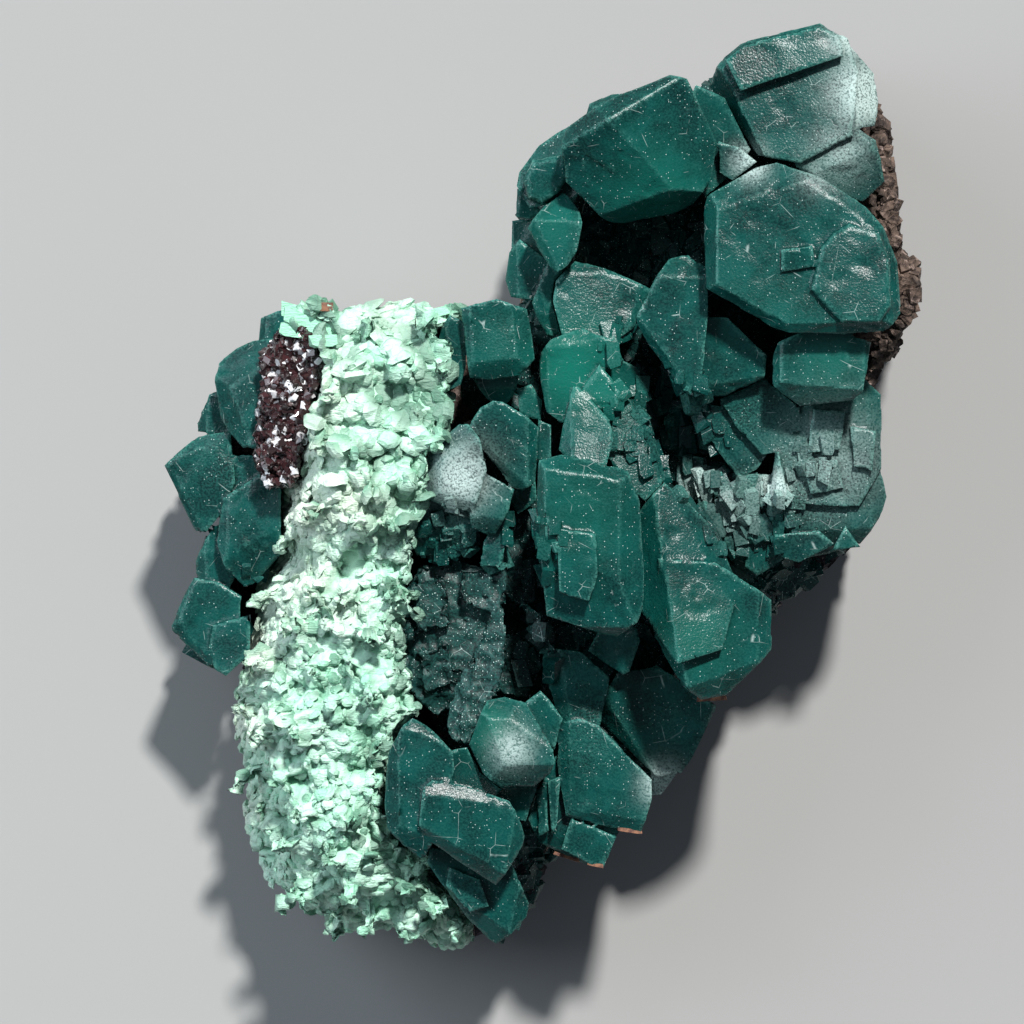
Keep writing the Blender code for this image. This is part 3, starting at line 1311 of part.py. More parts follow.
def rock_height(x, y):
    """The height of the rock: a domed bed under the crystals, a lower bench on the left, lumps."""
    inward = min(1.0, distance_to_line(Vector((x, y)), ROCK_OUTLINE) / ROCK_EDGE_ROUNDING)
    bed = ROCK_EDGE + (ROCK_BED - ROCK_EDGE) * math.sqrt(1.0 - (1.0 - inward) ** 2)
    share = min(1.0, max(0.0, (x - ROCK_STEP_X) / ROCK_STEP_WIDTH))
    height = ROCK_BENCH + (bed - ROCK_BENCH) * share
    height -= abs(ROCK_ROUGHNESS * noise.noise(Vector((x, y, 0.0)) / ROCK_LUMP_SPACING))
    for centre, radius, rise in ROCK_LUMPS:
        height += rise * math.exp(-((Vector((x, y)) - Vector(centre)).length / radius) ** 2)
    return height


def spread_outline(ring, spread):
    """The closed outline with each corner moved out by the spread, square to its two edges."""
    area = sum(a[0] * b[1] - a[1] * b[0] for a, b in zip(ring, ring[1:] + ring[:1]))
    turn = math.copysign(1.0, area)
    moved = []
    for before, corner, after in zip(ring[-1:] + ring[:-1], ring, ring[1:] + ring[:1]):
        first = (Vector(corner) - Vector(before)).normalized()
        second = (Vector(after) - Vector(corner)).normalized()
        out = Vector((first.y + second.y, -first.x - second.x)).normalized() * turn
        moved.append(Vector(corner) + out * spread)
    return moved


def prism_object(ring, spread, bottom, top):
    """An upright prism on the outline spread out a little."""
    mesh_maker = bmesh.new()
    outline = spread_outline(ring, spread)
    rings = []
    for level in (bottom, top):
        rings.append([mesh_maker.verts.new(Vector((*p, level)) * METRES) for p in outline])
    mesh_maker.faces.new(rings[0][::-1])
    mesh_maker.faces.new(rings[1])
    for i in range(len(ring)):
        j = (i + 1) % len(ring)
        mesh_maker.faces.new((rings[0][i], rings[0][j], rings[1][j], rings[1][i]))
    bmesh.ops.recalc_face_normals(mesh_maker, faces=mesh_maker.faces[:])
    mesh = bpy.data.meshes.new("prism")
    mesh_maker.to_mesh(mesh)
    mesh_maker.free()
    return new_object("prism", mesh)


def rock_matrix(material, neighbours):
    """The host rock: lumpy on top and at its sides, cut flat at its back, hollowed for the crystals."""
    body = relief_body("rock", ROCK_OUTLINE, rock_height, ROCK_GRID, ROCK_SIDES, ROCK_SIDE_WAVER)
    bench = prism_object(CRUST_OUTLINE, CRUST_OVERHANG, ROCK_BENCH, TALLEST)
    rock = cut(body, neighbours + [bench])
    return finish(keep_largest_body(rock), "rock_matrix", material)


def clusters():
    """Every crystal cluster by node name, the ones in front first."""
    return {
        "tower_crystals": tower_crystals(),
        "great_crystals": great_crystals(),
        "shoulder_crystals": shoulder_crystals(),
        "crown_crystals": crown_crystals(),
        "centre_crystals": centre_crystals(),
        "corner_crystals": corner_crystals(),
        "ridge_crystals": ridge_crystals(),
        "flank_crystals": flank_crystals(),
        "dark_block": dark_block_crystals(),
        "lower_crystals": lower_crystals(),
        "foot_crystals": foot_crystals(),
        "left_crystals": left_crystals(),
    }


def cluster_object(name, crystals, in_front, material):
    """One cluster joined in one solid, cut back where the clusters in front of it stand."""
    near = [other for other in in_front if those_near(crystals, reach_of(other))]
    cluster = joined([crystal_object(name, crystal) for crystal in crystals])
    return finish(keep_largest_body(cut(cluster, grown_copies(near))), name, material)


def main():
    """Builds every piece of the specimen."""
    for old in list(bpy.data.objects):
        bpy.data.objects.remove(old)
    green = principled("apophyllite", GREEN, 0.22, 0.25)
    dark = principled("dark_apophyllite", DARK_GREEN, 0.35)
    in_front = []
    for name, crystals in clusters().items():
        material = dark if name == "dark_block" else green
        cluster_object(name, crystals, in_front, material)
        in_front.extend(crystals)
    druse_room = prism_object(DRUSE_OUTLINE, DRUSE_SPREAD + PART_GAP, CRUST_FOOT - 1.0, TALLEST)
    dark_druse(principled("red_druse", DRUSE_RED, 0.3), grown_copies(left_crystals()))
    by_the_crust = those_near(in_front, CRUST_BOX)
    stilbite_crust(principled("stilbite", MINT, 0.6), grown_copies(by_the_crust) + [druse_room])
    in_the_rock = [crystal for crystal in in_front if crystal.rooted()]
    rock_matrix(principled("host_rock", ROCK_BROWN, 0.85), grown_copies(in_the_rock))


main()
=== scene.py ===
"""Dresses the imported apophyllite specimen: stepped crystals, a plated crust, grains, finishes and a studio.

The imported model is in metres. Meshes are worked on here in millimetres, seen from above: X runs
right, Y runs up the specimen and Z rises from the cut back that it lies on.
"""

import json
import logging
import math
import random
from dataclasses import dataclass, replace
from enum import Enum

import bmesh
import bpy
import numpy as np
from mathutils import Matrix, Vector, noise
from mathutils.bvhtree import BVHTree

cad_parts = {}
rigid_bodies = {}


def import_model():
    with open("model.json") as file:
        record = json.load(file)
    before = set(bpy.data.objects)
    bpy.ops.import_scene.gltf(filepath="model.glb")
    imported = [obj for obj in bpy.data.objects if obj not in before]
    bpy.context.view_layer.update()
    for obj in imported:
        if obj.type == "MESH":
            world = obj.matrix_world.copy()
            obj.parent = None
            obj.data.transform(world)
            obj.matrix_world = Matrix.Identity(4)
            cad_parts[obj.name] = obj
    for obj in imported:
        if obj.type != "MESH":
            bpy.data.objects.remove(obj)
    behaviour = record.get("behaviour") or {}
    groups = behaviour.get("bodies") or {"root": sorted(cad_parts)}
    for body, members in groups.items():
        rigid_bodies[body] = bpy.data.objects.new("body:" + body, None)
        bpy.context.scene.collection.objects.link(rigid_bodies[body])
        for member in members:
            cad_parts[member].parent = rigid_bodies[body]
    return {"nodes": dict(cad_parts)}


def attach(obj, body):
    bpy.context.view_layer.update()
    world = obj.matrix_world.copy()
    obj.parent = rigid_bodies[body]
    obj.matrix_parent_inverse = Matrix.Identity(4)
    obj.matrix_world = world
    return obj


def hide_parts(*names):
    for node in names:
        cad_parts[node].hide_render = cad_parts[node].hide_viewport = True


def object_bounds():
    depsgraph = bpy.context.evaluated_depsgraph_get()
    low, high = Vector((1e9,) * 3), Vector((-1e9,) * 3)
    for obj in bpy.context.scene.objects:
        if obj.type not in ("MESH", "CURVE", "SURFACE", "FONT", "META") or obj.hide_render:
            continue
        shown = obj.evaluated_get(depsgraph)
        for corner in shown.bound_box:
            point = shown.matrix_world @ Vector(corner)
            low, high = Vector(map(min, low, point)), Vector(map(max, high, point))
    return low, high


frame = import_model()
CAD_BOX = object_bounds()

METRES = 0.001
MILLIMETRES = 1000.0
BODY = "root"
# How much of its grid a crisp remesh may fill.
FULL_GRID = 0.98
# The kinds of socket and of tree that the node groups use.
FLOAT, GEOMETRY, MATERIAL = "NodeSocketFloat", "NodeSocketGeometry", "NodeSocketMaterial"
SHADER_TREE, GEOMETRY_TREE = "ShaderNodeTree", "GeometryNodeTree"

Colour = tuple[float, float, float]
# Where a value starts and stops to count and, if given, what it becomes there.
Span = tuple[float, ...]
Socket = bpy.types.NodeSocket

log = logging.getLogger("specimen")


class Slot(Enum):
    """The record's material slots."""

    APOPHYLLITE = "apophyllite"
    DARK_APOPHYLLITE = "dark_apophyllite"
    STILBITE = "stilbite"
    DRUSE = "red_druse"
    ROCK = "host_rock"


class Trait(Enum):
    """The values that a finished mesh carries at each of its points."""

    # Worn edges, which also carry painted highlights.
    WEAR = "wear"
    # Painted shade in crystal grooves and in the crust's creases and low places.
    HOLLOW = "hollow"
    # Frosted and cream places, and crystal faces painted white as reflections.
    FROST = "frost"
    ROUGH = "rough"
    GLOW = "glow"
    GROW = "grow"
    LEAN = "lean"
    OUTWARD = "outward"
    SIZE = "size"
    TINT = "tint"
    TIP = "tip"


class Skin(Enum):
    """How a solid is wrapped in small faces: crisp at its edges, or worn round."""

    CRISP = "SHARP"
    SOFT = "VOXEL"


@dataclass(frozen=True)
class Spot:
    """A round place on the specimen, seen from above, where something is stronger."""

    x: float
    y: float
    radius: float
    strength: float = 1.0


# Frosted, etched or chipped pale places on the green crystals. Some, such as those at (-12.6, 3.0) and (-4.8,
# -39.6), are faces painted white as reflections of the light.
FROSTED_AND_GLINTING_SPOTS = (
    Spot(51.0, 63.0, 5.0, 1.3), Spot(48.5, 71.0, 3.2, 1.0), Spot(46.8, 53.0, 4.5, 0.5),
    Spot(43.0, 50.0, 3.0, 0.4), Spot(-12.6, 3.0, 4.4, 1.1), Spot(-4.8, -39.6, 3.0, 0.8),
    Spot(36.6, 1.4, 2.4, 1.2), Spot(24.6, 1.8, 2.0, 1.2), Spot(31.0, -2.0, 3.6, 0.5),
    Spot(19.2, -45.4, 3.0, 1.1), Spot(32.4, 51.6, 2.6, 1.0), Spot(46.0, 6.0, 8.0, 0.35),
)
# Places where light comes through the crystal and it looks a brighter green.
GLOWING_SPOTS = (
    Spot(4.6, 20.0, 7.0, 1.0), Spot(9.4, 16.0, 4.5, 0.8), Spot(17.0, 46.0, 8.0, 0.6),
    Spot(6.8, -2.0, 8.0, 0.35), Spot(36.0, 28.0, 9.0, 0.15), Spot(-8.0, -37.0, 4.0, 0.9),
    Spot(45.0, 20.0, 6.0, 0.4), Spot(-5.0, 24.0, 6.0, 0.3), Spot(24.0, -22.0, 6.0, 0.5),
    Spot(2.0, 42.0, 5.0, 0.4),
)
# Faces of the green crystals that are sugary and sparkle.
ROUGH_SPOTS = (
    Spot(36.0, 66.0, 9.0, 0.5), Spot(8.0, 31.0, 7.0, 0.6), Spot(55.0, 42.0, 4.0, 0.4),
    Spot(33.0, -12.0, 7.0, 0.4), Spot(24.0, -6.0, 6.0, 0.4), Spot(42.0, 3.0, 10.0, 1.0),
    Spot(-14.0, -5.0, 6.0, 1.0), Spot(8.0, -38.0, 8.0, 0.8), Spot(-3.0, -39.5, 3.4, 0.8),
    Spot(20.0, -36.0, 6.0, 0.6), Spot(-50.0, 6.0, 8.0, 0.7), Spot(12.0, 10.0, 7.0, 0.9),
    Spot(16.0, 60.0, 6.0, 0.4), Spot(-6.0, 24.0, 6.0, 0.7), Spot(30.0, 22.0, 6.0, 0.4),
    Spot(47.0, 52.0, 5.0, 0.8), Spot(-18.0, -42.0, 8.0, 0.4), Spot(-12.0, -62.0, 8.0, 0.6),
    Spot(6.0, -28.0, 5.0, 0.8), Spot(32.0, 12.0, 6.0, 0.8),
)
# Rough places of the green crystals, where little crystals stand in crowds.
CROWDED_SPOTS = (
    Spot(29.5, -2.0, 6.0, 1.0), Spot(37.0, -4.0, 5.0, 0.9), Spot(42.0, 6.0, 7.0, 0.4),
    Spot(20.0, 12.0, 9.0, 0.8), Spot(25.5, 2.0, 4.0, 1.0), Spot(-15.0, -6.0, 5.0, 0.8),
    Spot(-2.0, -8.0, 6.0, 0.6), Spot(0.0, -24.0, 6.0, 0.5), Spot(12.0, 24.0, 5.0, 0.4),
    Spot(-46.0, -14.0, 6.0, 0.3),
)
# Cream and lilac-white places of the crust.
CREAM_SPOTS = (
    Spot(-38.0, -2.0, 8.0, 1.0), Spot(-30.0, -2.0, 6.0, 0.9), Spot(-45.0, -24.0, 5.0, 1.0),
    Spot(-34.0, 16.0, 6.0, 0.8), Spot(-47.5, -36.0, 5.0, 0.9), Spot(-37.0, 7.0, 6.0, 0.8),
    Spot(-47.0, -50.0, 4.0, 0.8), Spot(-37.0, -14.0, 7.0, 0.8), Spot(-31.0, -17.0, 5.0, 0.6),
    Spot(-24.0, 28.0, 4.0, 0.5), Spot(-42.0, -18.0, 5.0, 0.8),
)
# The mounds of the crust, each a rounded heap of plates that is steepest at its lower side.
CRUST_MOUNDS = (
    Spot(-39.0, 28.8, 3.2), Spot(-29.3, 27.3, 3.2), Spot(-21.6, 28.8, 3.6), Spot(-16.6, 28.0, 3.2),
    Spot(-25.1, 22.5, 4.0), Spot(-21.6, 19.7, 3.6), Spot(-34.1, 16.6, 5.2), Spot(-27.9, 18.6, 2.5),
    Spot(-29.9, 13.4, 3.6), Spot(-25.7, 9.8, 4.3), Spot(-19.5, 8.4, 3.2), Spot(-37.6, 8.4, 3.2),
    Spot(-31.3, 7.0, 2.9), Spot(-33.4, 3.0, 4.0), Spot(-28.5, 3.6, 2.2), Spot(-22.3, 3.0, 3.6),
    Spot(-41.8, -2.7, 3.2), Spot(-37.6, -3.4, 3.2), Spot(-33.4, -1.2, 2.9), Spot(-29.3, -8.9, 4.7),
    Spot(-22.9, -11.1, 3.6), Spot(-41.0, -15.2, 4.7), Spot(-34.8, -15.2, 4.7), Spot(-28.5, -14.5, 4.0),
    Spot(-25.1, -18.0, 3.2), Spot(-31.3, -22.2, 4.0), Spot(-40.4, -22.2, 3.6), Spot(-45.2, -25.6, 4.0),
    Spot(-36.2, -27.8, 3.6), Spot(-26.5, -29.2, 4.7), Spot(-23.7, -34.7, 4.0), Spot(-43.2, -31.2, 4.0),
    Spot(-37.6, -34.7, 4.3), Spot(-32.0, -33.4, 3.2), Spot(-45.2, -38.9, 3.6), Spot(-41.0, -42.5, 4.3),
    Spot(-35.5, -42.5, 4.3), Spot(-30.5, -40.3, 3.6), Spot(-27.1, -46.6, 4.3), Spot(-32.7, -48.0, 4.3),
    Spot(-42.4, -48.8, 4.0), Spot(-37.0, -51.6, 4.0), Spot(-32.7, -53.6, 3.6), Spot(-45.2, -54.2, 3.6),
    Spot(-39.0, -57.0, 4.0), Spot(-29.9, -59.2, 4.3), Spot(-42.4, -62.0, 3.6), Spot(-35.5, -64.1, 4.3),
    Spot(-26.5, -64.7, 4.3), Spot(-21.5, -68.9, 3.6), Spot(-14.6, -71.1, 3.2), Spot(-30.5, -69.7, 3.6),
)


@dataclass(frozen=True)
class LumpScale:
    """One size of lump on the crust.

    Its size is a share of the largest lump's. The tip of its lower lip, its bulge and how far lumps
    differ in level are shares of its own size, and the crease round it is a depth in millimetres.
    """

    share: float
    tip: float
    bulge: float
    level: float
    crease: float


CRUST_SCALES = (
    LumpScale(1.0, 0.26, 0.12, 0.08, 0.22), LumpScale(0.5, 0.34, 0.12, 0.18, 0.22),
    LumpScale(0.24, 0.26, 0.1, 0.16, 0.08),
)
# The height of the highest lumps, which nothing stands above, in millimetres.
CRUST_TOP = 1.9


def opaque(colour: object) -> object:
    """A plain colour with its alpha; a socket stays as it is."""
    return (*colour, 1.0) if isinstance(colour, tuple) else colour


class Wiring:
    """Places nodes in one tree and joins them."""

    def __init__(self, tree: bpy.types.NodeTree) -> None:
        """Works on the given tree."""
        self.tree = tree

    def feed(self, node: bpy.types.Node, inputs: dict) -> None:
        """Gives a node's inputs what they need.

        Args:
            node: the node.
            inputs: a value, or the socket that feeds it, for each input by name or number.
        """
        for key, value in inputs.items():
            if isinstance(value, Socket):
                self.tree.links.new(value, node.inputs[key])
            else:
                node.inputs[key].default_value = value

    def add(self, kind: str, inputs: dict | None = None, **settings: object) -> bpy.types.Node:
        """Adds one node.

        Args:
            kind: the node's type.
            inputs: a value, or the socket that feeds it, for each input by name or number.
            settings: the node's own options.

        Returns:
            The node.
        """
        node = self.tree.nodes.new(kind)
        for name, value in settings.items():
            setattr(node, name, value)
        self.feed(node, inputs or {})
        return node

    def math(self, operation: str, first: object, second: object = 0.0) -> Socket:
        """One sum on two numbers."""
        return self.add("ShaderNodeMath", {0: first, 1: second}, operation=operation).outputs[0]

    def vector_math(self, operation: str, first: object, second: object) -> Socket:
        """One sum on two vectors."""
        return self.add("ShaderNodeVectorMath", {0: first, 1: second}, operation=operation).outputs[0]

    def scaled(self, vector: object, factor: object) -> Socket:
        """A vector times a number."""
        return self.add("ShaderNodeVectorMath", {0: vector, "Scale": factor}, operation="SCALE").outputs[0]

    def axis(self, vector: object, number: int) -> Socket:
        """One axis of a vector."""
        return self.add("ShaderNodeSeparateXYZ", {0: vector}).outputs[number]

    def alike(self, number: object) -> Socket:
        """A vector that is the same number along each axis."""
        return self.add("ShaderNodeCombineXYZ", {0: number, 1: number, 2: number}).outputs[0]

    def red(self, colour: object) -> Socket:
        """The red of a colour: a chance number, where the colour is a cell's."""
        return self.add("ShaderNodeSeparateColor", {0: colour}).outputs[0]

    def between(
        self, value: object, low: float, high: object, at_low: float = 0.0, at_high: float = 1.0,
    ) -> Socket:
        """A number mapped from the range of low to high, held at its ends."""
        inputs = {0: value, 1: low, 2: high, 3: at_low, 4: at_high}
        return self.add("ShaderNodeMapRange", inputs).outputs[0]

    def blend(self, factor: object, first: object, second: object, how: str = "MIX") -> Socket:
        """Two colours mixed."""
        inputs = {0: factor, 6: opaque(first), 7: opaque(second)}
        return self.add("ShaderNodeMix", inputs, data_type="RGBA", blend_type=how).outputs[2]

    def trait(self, trait: Trait) -> Socket:
        """A value that the mesh carries."""
        return self.add("ShaderNodeAttribute", attribute_name=trait.value).outputs["Fac"]

    def noise(self, vector: object, scale: float, detail: float = 3.0, rough: float = 0.55) -> Socket:
        """Soft noise from 0 to 1."""
        inputs = {"Vector": vector, "Scale": scale, "Detail": detail, "Roughness": rough}
        return self.add("ShaderNodeTexNoise", inputs).outputs[0]

    def drift(self, vector: object, scale: float) -> Socket:
        """Soft noise for a vector, from 0 to 1 along each axis."""
        return self.add("ShaderNodeTexNoise", {"Vector": vector, "Scale": scale, "Detail": 1.0}).outputs[1]

    def cells(
        self, vector: object, scale: object, feature: str = "F1", metric: str = "EUCLIDEAN",
    ) -> bpy.types.Node:
        """A field of cells."""
        inputs = {"Vector": vector, "Scale": scale}
        return self.add("ShaderNodeTexVoronoi", inputs, feature=feature, distance=metric)

    def bump(self, height: object, strength: float, distance: float) -> Socket:
        """The normals of a surface that rises with a height."""
        inputs = {"Strength": strength, "Distance": distance, "Height": height}
        return self.add("ShaderNodeBump", inputs).outputs[0]

    def millimetres(self) -> Socket:
        """The place on the object, in millimetres."""
        return self.scaled(self.add("ShaderNodeTexCoord").outputs["Object"], MILLIMETRES)


def new_tree(
    name: str, kind: str, inputs: dict[str, tuple[str, object]], outputs: dict[str, str],
) -> tuple[Wiring, bpy.types.Node, bpy.types.Node]:
    """Starts a node group.

    Args:
        name: the group's name.
        kind: the kind of tree.
        inputs: each input's socket type and first value, by name.
        outputs: each output's socket type, by name.

    Returns:
        The wiring, the group's input node and its output node.
    """
    tree = bpy.data.node_groups.new(name, kind)
    for label, (socket_type, value) in inputs.items():
        socket = tree.interface.new_socket(label, in_out="INPUT", socket_type=socket_type)
        if value is not None:
            socket.default_value = value
    for label, socket_type in outputs.items():
        tree.interface.new_socket(label, in_out="OUTPUT", socket_type=socket_type)
    wiring = Wiring(tree)
    return wiring, wiring.add("NodeGroupInput"), wiring.add("NodeGroupOutput")


def new_material(name: str) -> tuple[bpy.types.Material, Wiring, bpy.types.Node]:
    """Starts a material.

    Args:
        name: the material's name.

    Returns:
        The material, its wiring and its shader.
    """
    material = bpy.data.materials.new(name)
    material.use_nodes = True
    return material, Wiring(material.node_tree), material.node_tree.nodes["Principled BSDF"]


def flaws_group() -> bpy.types.NodeTree:
    """The flaws inside and on a crystal: white cracks, dust specks and clouds.

    Returns:
        The shader group.
    """
    inputs = {
        "Crack Scale": (FLOAT, 0.12), "Crack Width": (FLOAT, 0.012), "Dust Scale": (FLOAT, 2.8),
        "Dust Share": (FLOAT, 0.1),
    }
    outputs = {"Cracks": FLOAT, "Dust": FLOAT, "Clouds": FLOAT}
    wiring, given, result = new_tree("crystal_flaws", SHADER_TREE, inputs, outputs)
    place = wiring.millimetres()
    clouds = wiring.noise(place, scale=0.16, detail=3.0, rough=0.6)
    patches = wiring.noise(place, scale=0.3, detail=2.0)
    edge = wiring.cells(place, given.outputs["Crack Scale"], "DISTANCE_TO_EDGE").outputs[0]
    line = wiring.between(edge, 0.0, given.outputs["Crack Width"], 1.0, 0.0)
    cracks = wiring.math("MULTIPLY", line, wiring.between(patches, 0.56, 0.66))
    speck = wiring.cells(place, given.outputs["Dust Scale"])
    size = wiring.between(speck.outputs[0], 0.16, 0.26, 1.0, 0.0)
    patchy = wiring.between(patches, 0.35, 0.65, 2.2, 0.3)
    share = wiring.math("MULTIPLY", given.outputs["Dust Share"], patchy)
    chosen = wiring.math("LESS_THAN", wiring.red(speck.outputs[1]), share)
    wiring.feed(result, {"Cracks": cracks, "Dust": wiring.math("MULTIPLY", size, chosen), "Clouds": clouds})
    return wiring.tree


def surface_group() -> bpy.types.NodeTree:
    """The fine relief of a crystal's faces: shallow growth steps and sugary grains.

    Returns:
        The shader group.
    """
    inputs, outputs = {"Step Turn": (FLOAT, 0.3)}, {"Steps": FLOAT, "Sugar": FLOAT}
    wiring, given, result = new_tree("crystal_surface", SHADER_TREE, inputs, outputs)
    place = wiring.millimetres()
    turned = wiring.add("ShaderNodeVectorRotate", {"Vector": place, "Angle": given.outputs["Step Turn"]})
    steps = wiring.red(wiring.cells(turned.outputs[0], 0.3, metric="CHEBYCHEV").outputs[1])
    wiring.feed(result, {"Steps": steps, "Sugar": wiring.noise(place, scale=3.0, detail=1.0, rough=0.6)})
    return wiring.tree


@dataclass(frozen=True)
class Studio:
    """The pale floor, the soft lights and the camera that looks straight down."""

    target: tuple[float, float, float] = (-4.61, -2.66, 44.0)
    distance: float = 1333.3
    lens: float = 300.0
    sensor: float = 36.0
    farthest: float = 20.0
    floor_reach: float = 2500.0
    floor_colour: Colour = (0.34, 0.34, 0.335)
    floor_roughness: float = 0.9
    key_direction: tuple[float, float, float] = (-0.22, -0.75, -1.05)
    key_power: float = 5.0
    key_spread: float = 5.0
    key_colour: Colour = (1.0, 0.985, 0.96)
    fill_place: tuple[float, float, float] = (-0.9, 0.4, 0.8)
    fill_power: float = 9.0
    fill_size: float = 0.9
    fill_colour: Colour = (0.8, 0.9, 1.0)
    room_colour: Colour = (0.75, 0.85, 1.0)
    room_strength: float = 0.15
    bounces: tuple[tuple[str, int], ...] = (
        ("max_bounces", 4), ("diffuse_bounces", 2), ("glossy_bounces", 2), ("transmission_bounces", 3),
    )

    def build(self) -> None:
        """Makes the floor, the lights and the camera."""
        self.floor()
        self.key()
        self.fill()
        self.room()
        self.camera()
        scene = bpy.context.scene
        scene.view_settings.view_transform = "Standard"
        for name, number in self.bounces:
            setattr(scene.cycles, name, number)

    def floor(self) -> None:
        """A plain pale floor."""
        reach = self.floor_reach * METRES
        mesh = bpy.data.meshes.new("floor")
        corners = [(-reach, -reach, 0.0), (reach, -reach, 0.0), (reach, reach, 0.0), (-reach, reach, 0.0)]
        mesh.from_pydata(corners, [], [(0, 1, 2, 3)])
        floor = new_object("floor", mesh)
        material, wiring, shader = new_material("pale_floor")
        wiring.feed(shader, {"Base Color": opaque(self.floor_colour), "Roughness": self.floor_roughness})
        mesh.materials.append(material)

    def key(self) -> None:
        """A soft key light from above the specimen's upper end."""
        light = bpy.data.lights.new("key", "SUN")
        light.energy = self.key_power
        light.angle = math.radians(self.key_spread)
        light.color = self.key_colour
        lamp = new_object("key", light)
        lamp.rotation_euler = Vector(self.key_direction).to_track_quat("-Z", "Y").to_euler()

    def fill(self) -> None:
        """A weak cool fill light from the left."""
        light = bpy.data.lights.new("fill", "AREA")
        light.energy = self.fill_power
        light.size = self.fill_size
        light.color = self.fill_colour
        lamp = new_object("fill", light)
        lamp.location = Vector(self.fill_place)
        lamp.rotation_euler = (-lamp.location).to_track_quat("-Z", "Y").to_euler()

    def room(self) -> None:
        """The dim light of the room."""
        world = bpy.data.worlds.new("room")
        world.use_nodes = True
        background = world.node_tree.nodes["Background"]
        Wiring(world.node_tree).feed(
            background, {"Color": opaque(self.room_colour), "Strength": self.room_strength},
        )
        bpy.context.scene.world = world

    def camera(self) -> None:
        """The camera at the photograph's angle."""
        data = bpy.data.cameras.new("camera")
        data.lens = self.lens
        data.sensor_width = self.sensor
        data.clip_end = self.farthest
        camera = new_object("camera", data)
        camera.location = (Vector(self.target) + Vector((0.0, 0.0, self.distance))) * METRES
        bpy.context.scene.camera = camera


